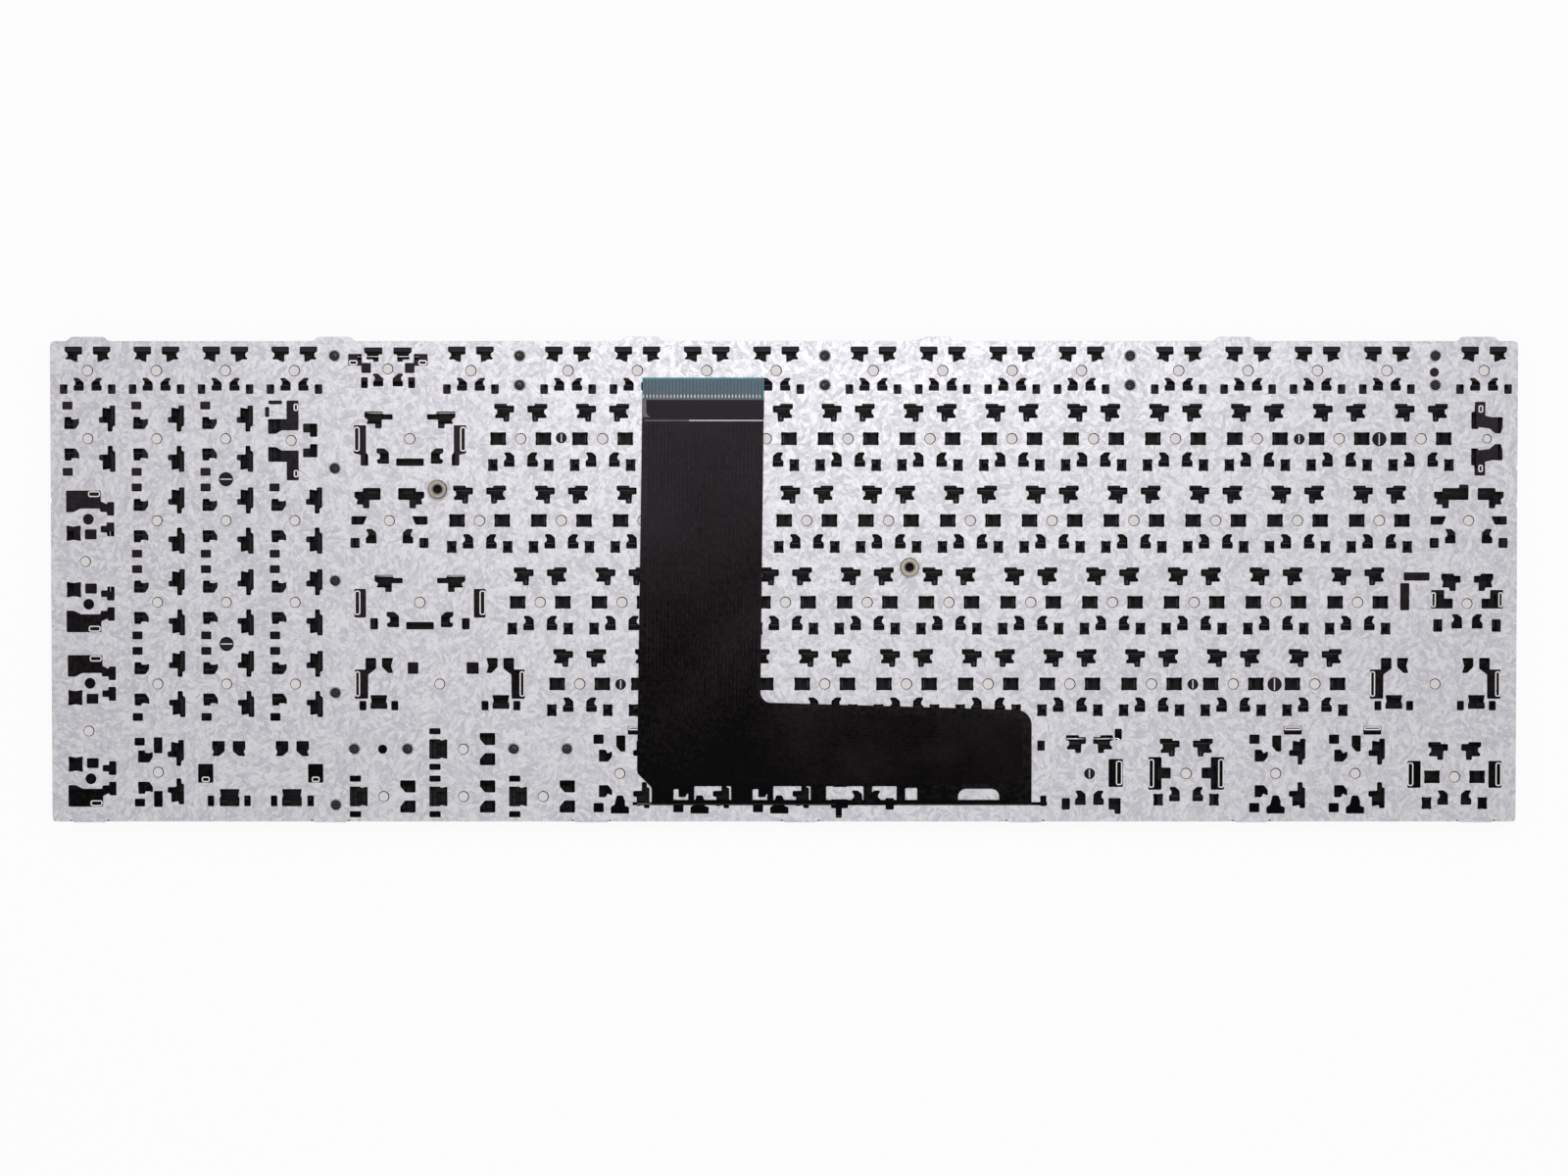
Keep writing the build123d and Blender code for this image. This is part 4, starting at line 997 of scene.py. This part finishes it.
def slit_discs():
    discs = bmesh.new()
    lines = bmesh.new()
    for x, y, radius, way in SLIT_HOLES:
        edge = radius - DISC_GAP
        top = Z_PLATE + DISC_RISE * MM
        section = [(0.0, top), (edge - DISC_EDGE, top), (edge, Z_PLATE + DISC_GAP * MM), (edge, Z_PLATE)]
        turned(discs, section, x, y, 20)
        half_x, half_y = LINE_HALF, radius - LINE_GAP
        if way == "across":
            half_x, half_y = half_y, half_x
        outline = box_outline(x - half_x, x + half_x, y - half_y, y + half_y)
        bevelled_block(lines, outline, Z_PLATE, Z_PLATE + LINE_RISE * MM, LINE_BEVEL)
    bmesh.ops.remove_doubles(discs, verts=discs.verts, dist=WELD)
    bmesh.ops.recalc_face_normals(discs, faces=discs.faces)
    add_piece("round_hole_film", discs, cover_tape, smooth_angle=30)
    return add_piece("round_hole_lines", lines, film_clear)


print("line faces:", len(slit_discs().data.polygons))

# %% [markdown]
# ## Stakes and standoffs
# The plastic frame is held by stakes that pass through the sheet and are melted flat in a countersink:
# black lumps with an uneven, slightly swirled top. Two turned posts with a thread take the screws of
# the laptop. Both are turned from a half section, and the lumps are then pushed about a little.

# %% Melted stakes
SWIRL = 0.10
LUMP_PROFILE = [(0.0, 0.14), (0.3, 0.17), (0.6, 0.14), (0.8, 0.08), (LUMP_RADIUS, -0.1)]


def melted_stakes():
    bm = bmesh.new()
    for number, (x, y) in enumerate(stakes):
        section = [(radius, Z_BACK + rise * MM) for radius, rise in LUMP_PROFILE]
        turned(bm, section + [(LUMP_RADIUS, Z_PLATE)], x, y, 20)
        for vert in {v for v in bm.verts if not v.tag}:
            vert.tag = True
            angle = math.atan2(vert.co.y - y * MM, vert.co.x - x * MM)
            reach = math.hypot(vert.co.y - y * MM, vert.co.x - x * MM) / (LUMP_RADIUS * MM)
            vert.co.z += SWIRL * MM * reach * math.sin(2 * angle + 3 * reach + number)
    bmesh.ops.remove_doubles(bm, verts=bm.verts, dist=WELD)
    bmesh.ops.recalc_face_normals(bm, faces=bm.faces)
    return add_piece("melted_stakes", bm, stake_plastic, smooth_angle=60)


print("stake faces:", len(melted_stakes().data.polygons))

# %% Threaded standoffs
POST_RADIUS = 2.2
HEAD_RADIUS = 2.02
BORE_RADIUS = 1.0
BORE_CHAMFER = 0.36
THREAD_TURNS = 5
THREAD_DEPTH = 0.12
SHANK_RADIUS = 1.6
RIM_HEIGHT = 0.7
RIM_STEP = 0.5
RIM_TAPER = 0.04
MOUTH_DEPTH = 0.35
BORE_FLOOR = 0.1
FILM_BEVEL = 0.01


def threaded_standoffs():
    """Posts and, apart from them, the chamfers round their heads in a darker copy of the nickel: painted
    shade.
    """
    low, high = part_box("threaded_standoffs")
    step = high.z - RIM_HEIGHT * MM
    barrel = [(SHANK_RADIUS, low.z), (SHANK_RADIUS, Z_BACK), (POST_RADIUS, Z_BACK), (POST_RADIUS, step)]
    rim = [(POST_RADIUS, step), (POST_RADIUS - RIM_TAPER, step + RIM_STEP * MM), (HEAD_RADIUS, high.z)]
    head = [(HEAD_RADIUS, high.z), (BORE_RADIUS + BORE_CHAMFER, high.z)]
    mouth = high.z - MOUTH_DEPTH * MM
    pitch = (mouth - low.z) / THREAD_TURNS
    for turn in range(THREAD_TURNS):
        z = mouth - turn * pitch
        head += [(BORE_RADIUS, z), (BORE_RADIUS + THREAD_DEPTH, z - pitch / 2)]
    head.append((BORE_RADIUS, low.z))
    posts = bmesh.new()
    rims = bmesh.new()
    for x, y in standoffs:
        turned(posts, barrel, x, y, 40)
        turned(posts, head, x, y, 40)
        turned(rims, rim, x, y, 40)
    for bm in (posts, rims):
        bmesh.ops.remove_doubles(bm, verts=bm.verts, dist=WELD)
        bmesh.ops.recalc_face_normals(bm, faces=bm.faces)
    # The rims take the darker nickel, a painted shade round the heads.
    add_piece("standoff_rims", rims, nickel_painted_shade, smooth_angle=35)
    piece = add_piece("standoff_posts", posts, nickel, smooth_angle=35)
    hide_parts("threaded_standoffs")
    floors = bmesh.new()
    outlines = [circle(x, y, BORE_RADIUS + THREAD_DEPTH) for x, y in standoffs]
    floors.from_mesh(flat_mesh(outlines, low.z - BORE_FLOOR * MM, low.z, FILM_BEVEL))
    add_piece("bore_floors", floors, film_black)
    return piece


print("standoff faces:", len(threaded_standoffs().data.polygons))

# %% [markdown]
# ## The tail
# The tail is part of the lower circuit film, which the model already has with its fold, its windows
# and its leaning edges. What is missing is what is printed and stuck on it: the fine traces that run
# down the ribbon and turn into the band, the contact fingers at its end on a teal stiffener, and a
# glossy cover strip below them. A line below the strip carries a painted highlight.

# %% Traces
Z_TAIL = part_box("lower_circuit_film")[1].z
RIBBON_LEFT, RIBBON_RIGHT = -32.8, -4.6
RIBBON_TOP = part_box("tail_stiffener")[1].y / MM
BAND_TOP, BAND_BOTTOM, BAND_RIGHT = -29.3, -47.2, 56.0
TRACES = 30
TRACE_HALF = 0.2
TRACE_RISE = 0.006
TRACE_MARGINS = 1.6, 1.0
TRACE_LEAN = -1.1
TRACE_START = 10.5
FIRST_BEND, BEND_GROWTH = 4.0, 5.0
BAND_MARGIN = 0.6
BAND_FALL = -1.5


def trace_routes():
    """Each trace runs down the ribbon, bends at 45 degrees and runs on along the band."""
    routes = []
    for number in range(TRACES):
        share = number / (TRACES - 1)
        x = RIBBON_RIGHT - TRACE_MARGINS[1] - share * (RIBBON_RIGHT - RIBBON_LEFT - sum(TRACE_MARGINS))
        lean = TRACE_LEAN * (1 - 0.2 * share)
        first_y = BAND_TOP - TRACE_MARGINS[0]
        y = first_y - share * (first_y - BAND_BOTTOM)
        bend = FIRST_BEND + BEND_GROWTH * share
        end = BAND_RIGHT - BAND_MARGIN
        fall = BAND_FALL * (1 - share) * (end - x) / (BAND_RIGHT - RIBBON_RIGHT)
        routes.append([(x, RIBBON_TOP - TRACE_START), (x + lean, y + bend), (x + lean + bend, y),
                       (end, y + fall)])
    return routes


def make_traces():
    curve = bpy.data.curves.new("traces", "CURVE")
    curve.dimensions = "3D"
    curve.bevel_depth = TRACE_HALF * MM
    curve.bevel_resolution = 0
    for route in trace_routes():
        add_line(curve, route, 0, False)
    bm = bmesh.new()
    bm.from_mesh(curve_mesh(curve))
    bmesh.ops.scale(bm, vec=(1, 1, TRACE_RISE / TRACE_HALF), verts=bm.verts)
    bmesh.ops.translate(bm, vec=(0, 0, Z_TAIL), verts=bm.verts)
    return add_piece("tail_traces", bm, carbon)


print("trace faces:", len(make_traces().data.polygons))

# %% Film by the fold
LINING = (-34.0, 57.4, -55.0, -52.35)
LINING_LOW, LINING_HIGH = 0.1, 0.02


def film_by_the_fold():
    """Dark film under the slots beyond the fold."""
    bm = bmesh.new()
    bm.from_mesh(flat_mesh([box_outline(*LINING)], Z_PLATE - LINING_LOW * MM, Z_PLATE - LINING_HIGH * MM,
                           FILM_BEVEL))
    return add_piece("fold_lining", bm, film_black)


print("lining faces:", len(film_by_the_fold().data.polygons))

# %% Contact end
FINGERS = 35
FINGER_GAP = 0.15
CONTACT_LENGTH = 5.1
TIP_FROM, TIP_TO = 3.9, 4.6
TIP_HALF = 0.13
COVER_TO = 9.2
COVER_MARGIN = 0.8
LINE_FROM, LINE_TO = 9.75, 10.0
HIGHLIGHT_FROM = -22.0
SHEET = 0.02
END_ROOM = 0.05
FINGER_ROOM = 0.15
FINGER_START = 0.3
MARGIN_WIDTH = 2.5
COVER_CORNER = 1.2


def lay_on_tail(name, outlines, level, material):
    """Thin sheets on the tail; the level says how many sheets lie below."""
    bm = bmesh.new()
    low = Z_TAIL + level * SHEET * MM
    bm.from_mesh(flat_mesh(outlines, low, low + SHEET * MM, SHEET / 4))
    return add_piece(name, bm, material)


def contact_end():
    left, right, top = RIBBON_LEFT + END_ROOM, RIBBON_RIGHT - END_ROOM, RIBBON_TOP - END_ROOM
    lay_on_tail("contact_backing", [box_outline(left, right, top - CONTACT_LENGTH, top)], 0, teal)
    pitch = (right - left - 2 * FINGER_ROOM) / FINGERS
    fingers = []
    tips = []
    for number in range(FINGERS):
        x = left + FINGER_ROOM + number * pitch
        first, last = x + FINGER_GAP / 2, x + pitch - FINGER_GAP / 2
        fingers.append(box_outline(first, last, top - CONTACT_LENGTH, top - FINGER_START))
        tips.append(box_outline(x - TIP_HALF, x + TIP_HALF, top - TIP_TO, top - TIP_FROM))
    lay_on_tail("contact_fingers", fingers, 1, contact)
    lay_on_tail("contact_tips", tips, 2, silver_ink_and_painted_highlight)
    lay_on_tail("contact_line", [box_outline(left, right, top - TIP_TO - 0.3, top - TIP_TO - 0.1)], 2,
                film_grey)
    cover_top, cover_low = top - CONTACT_LENGTH, top - COVER_TO
    lay_on_tail("cover_margin", [box_outline(left, left + MARGIN_WIDTH, cover_low + 0.1, cover_top)], 0,
                film_grey)
    edge, third = left + COVER_MARGIN, COVER_CORNER / 3
    corner = [(edge, cover_low + COVER_CORNER), (edge + third, cover_low + third),
              (edge + COVER_CORNER, cover_low)]
    cover = [(edge, cover_top)] + corner + [(right, cover_low), (right, cover_top)]
    lay_on_tail("cover_strip", [cover], 1, cover_tape)
    # The line below the cover strip is grey at the left and carries a painted highlight towards the right.
    seam = (top - LINE_TO, top - LINE_FROM)
    lay_on_tail("cover_seam", [box_outline(left + 0.3, HIGHLIGHT_FROM, *seam)], 0, film_grey)
    lay_on_tail("cover_seam_light", [box_outline(HIGHLIGHT_FROM, right - 0.2, *seam)], 0, silver_ink_and_painted_highlight)


contact_end()
print("contact fingers:", FINGERS)

# %% [markdown]
# ## Links and domes
# Under the sheet each key stands on a rubber dome inside a folding link, and both flatten when it is
# pressed. In the model all domes are one node and all links another, so here they are taken apart.
# The link and the dome of a key that moves become pieces of their own, each with a mesh of its own.
# The rest stay together in one piece each.

# %% Take links and domes apart
moving_keys = {node: middle_and_size(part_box(node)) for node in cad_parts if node.startswith("key_")}


def key_above(x, y):
    for node, (kx, ky, w, d) in moving_keys.items():
        if abs(x - kx) < w / 2 and abs(y - ky) < d / 2:
            return node
    return None


def take_apart(node, label, material):
    groups = {}
    for solid in separate_solids(node):
        x, y, w, d = middle_and_size([v.co for v in solid.verts])
        groups.setdefault(key_above(x, y), []).append(solid)
    for key, solids in groups.items():
        bm = bmesh.new()
        for solid in solids:
            mesh = bpy.data.meshes.new("solid")
            solid.to_mesh(mesh)
            solid.free()
            bm.from_mesh(mesh)
            bpy.data.meshes.remove(mesh)
        name = label + ("_of_" + key if key else "s_of_fixed_keys")
        piece = add_piece(name, bm, material, smooth_angle=35)
        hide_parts(node)
        if key:
            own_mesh(piece)
    return len(groups)


print("dome pieces:", take_apart("rubber_domes", "dome", rubber))
print("link pieces:", take_apart("folding_links", "link", link_plastic))

# %% [markdown]
# ## Finishes of the remaining model parts
# Caps, frame, films, wires and stiffener have their true shape in the model, so they only get their
# finish. The caps stay bare: their faces lie on the table.

# %% Dress the model's own parts
dress = {
    "lower_circuit_film": film_black,
    "spacer_film": film_grey,
    "upper_circuit_film": film_black,
    "tail_stiffener": teal,
    "bezel_frame": frame_plastic,
    "stabiliser_wires": steel,
    "space_wire": steel,
}
for node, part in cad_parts.items():
    material = dress.get(node, key_plastic)
    if part.data.materials:
        part.data.materials[0] = material
    else:
        part.data.materials.append(material)
print("dressed:", len(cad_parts), "nodes")
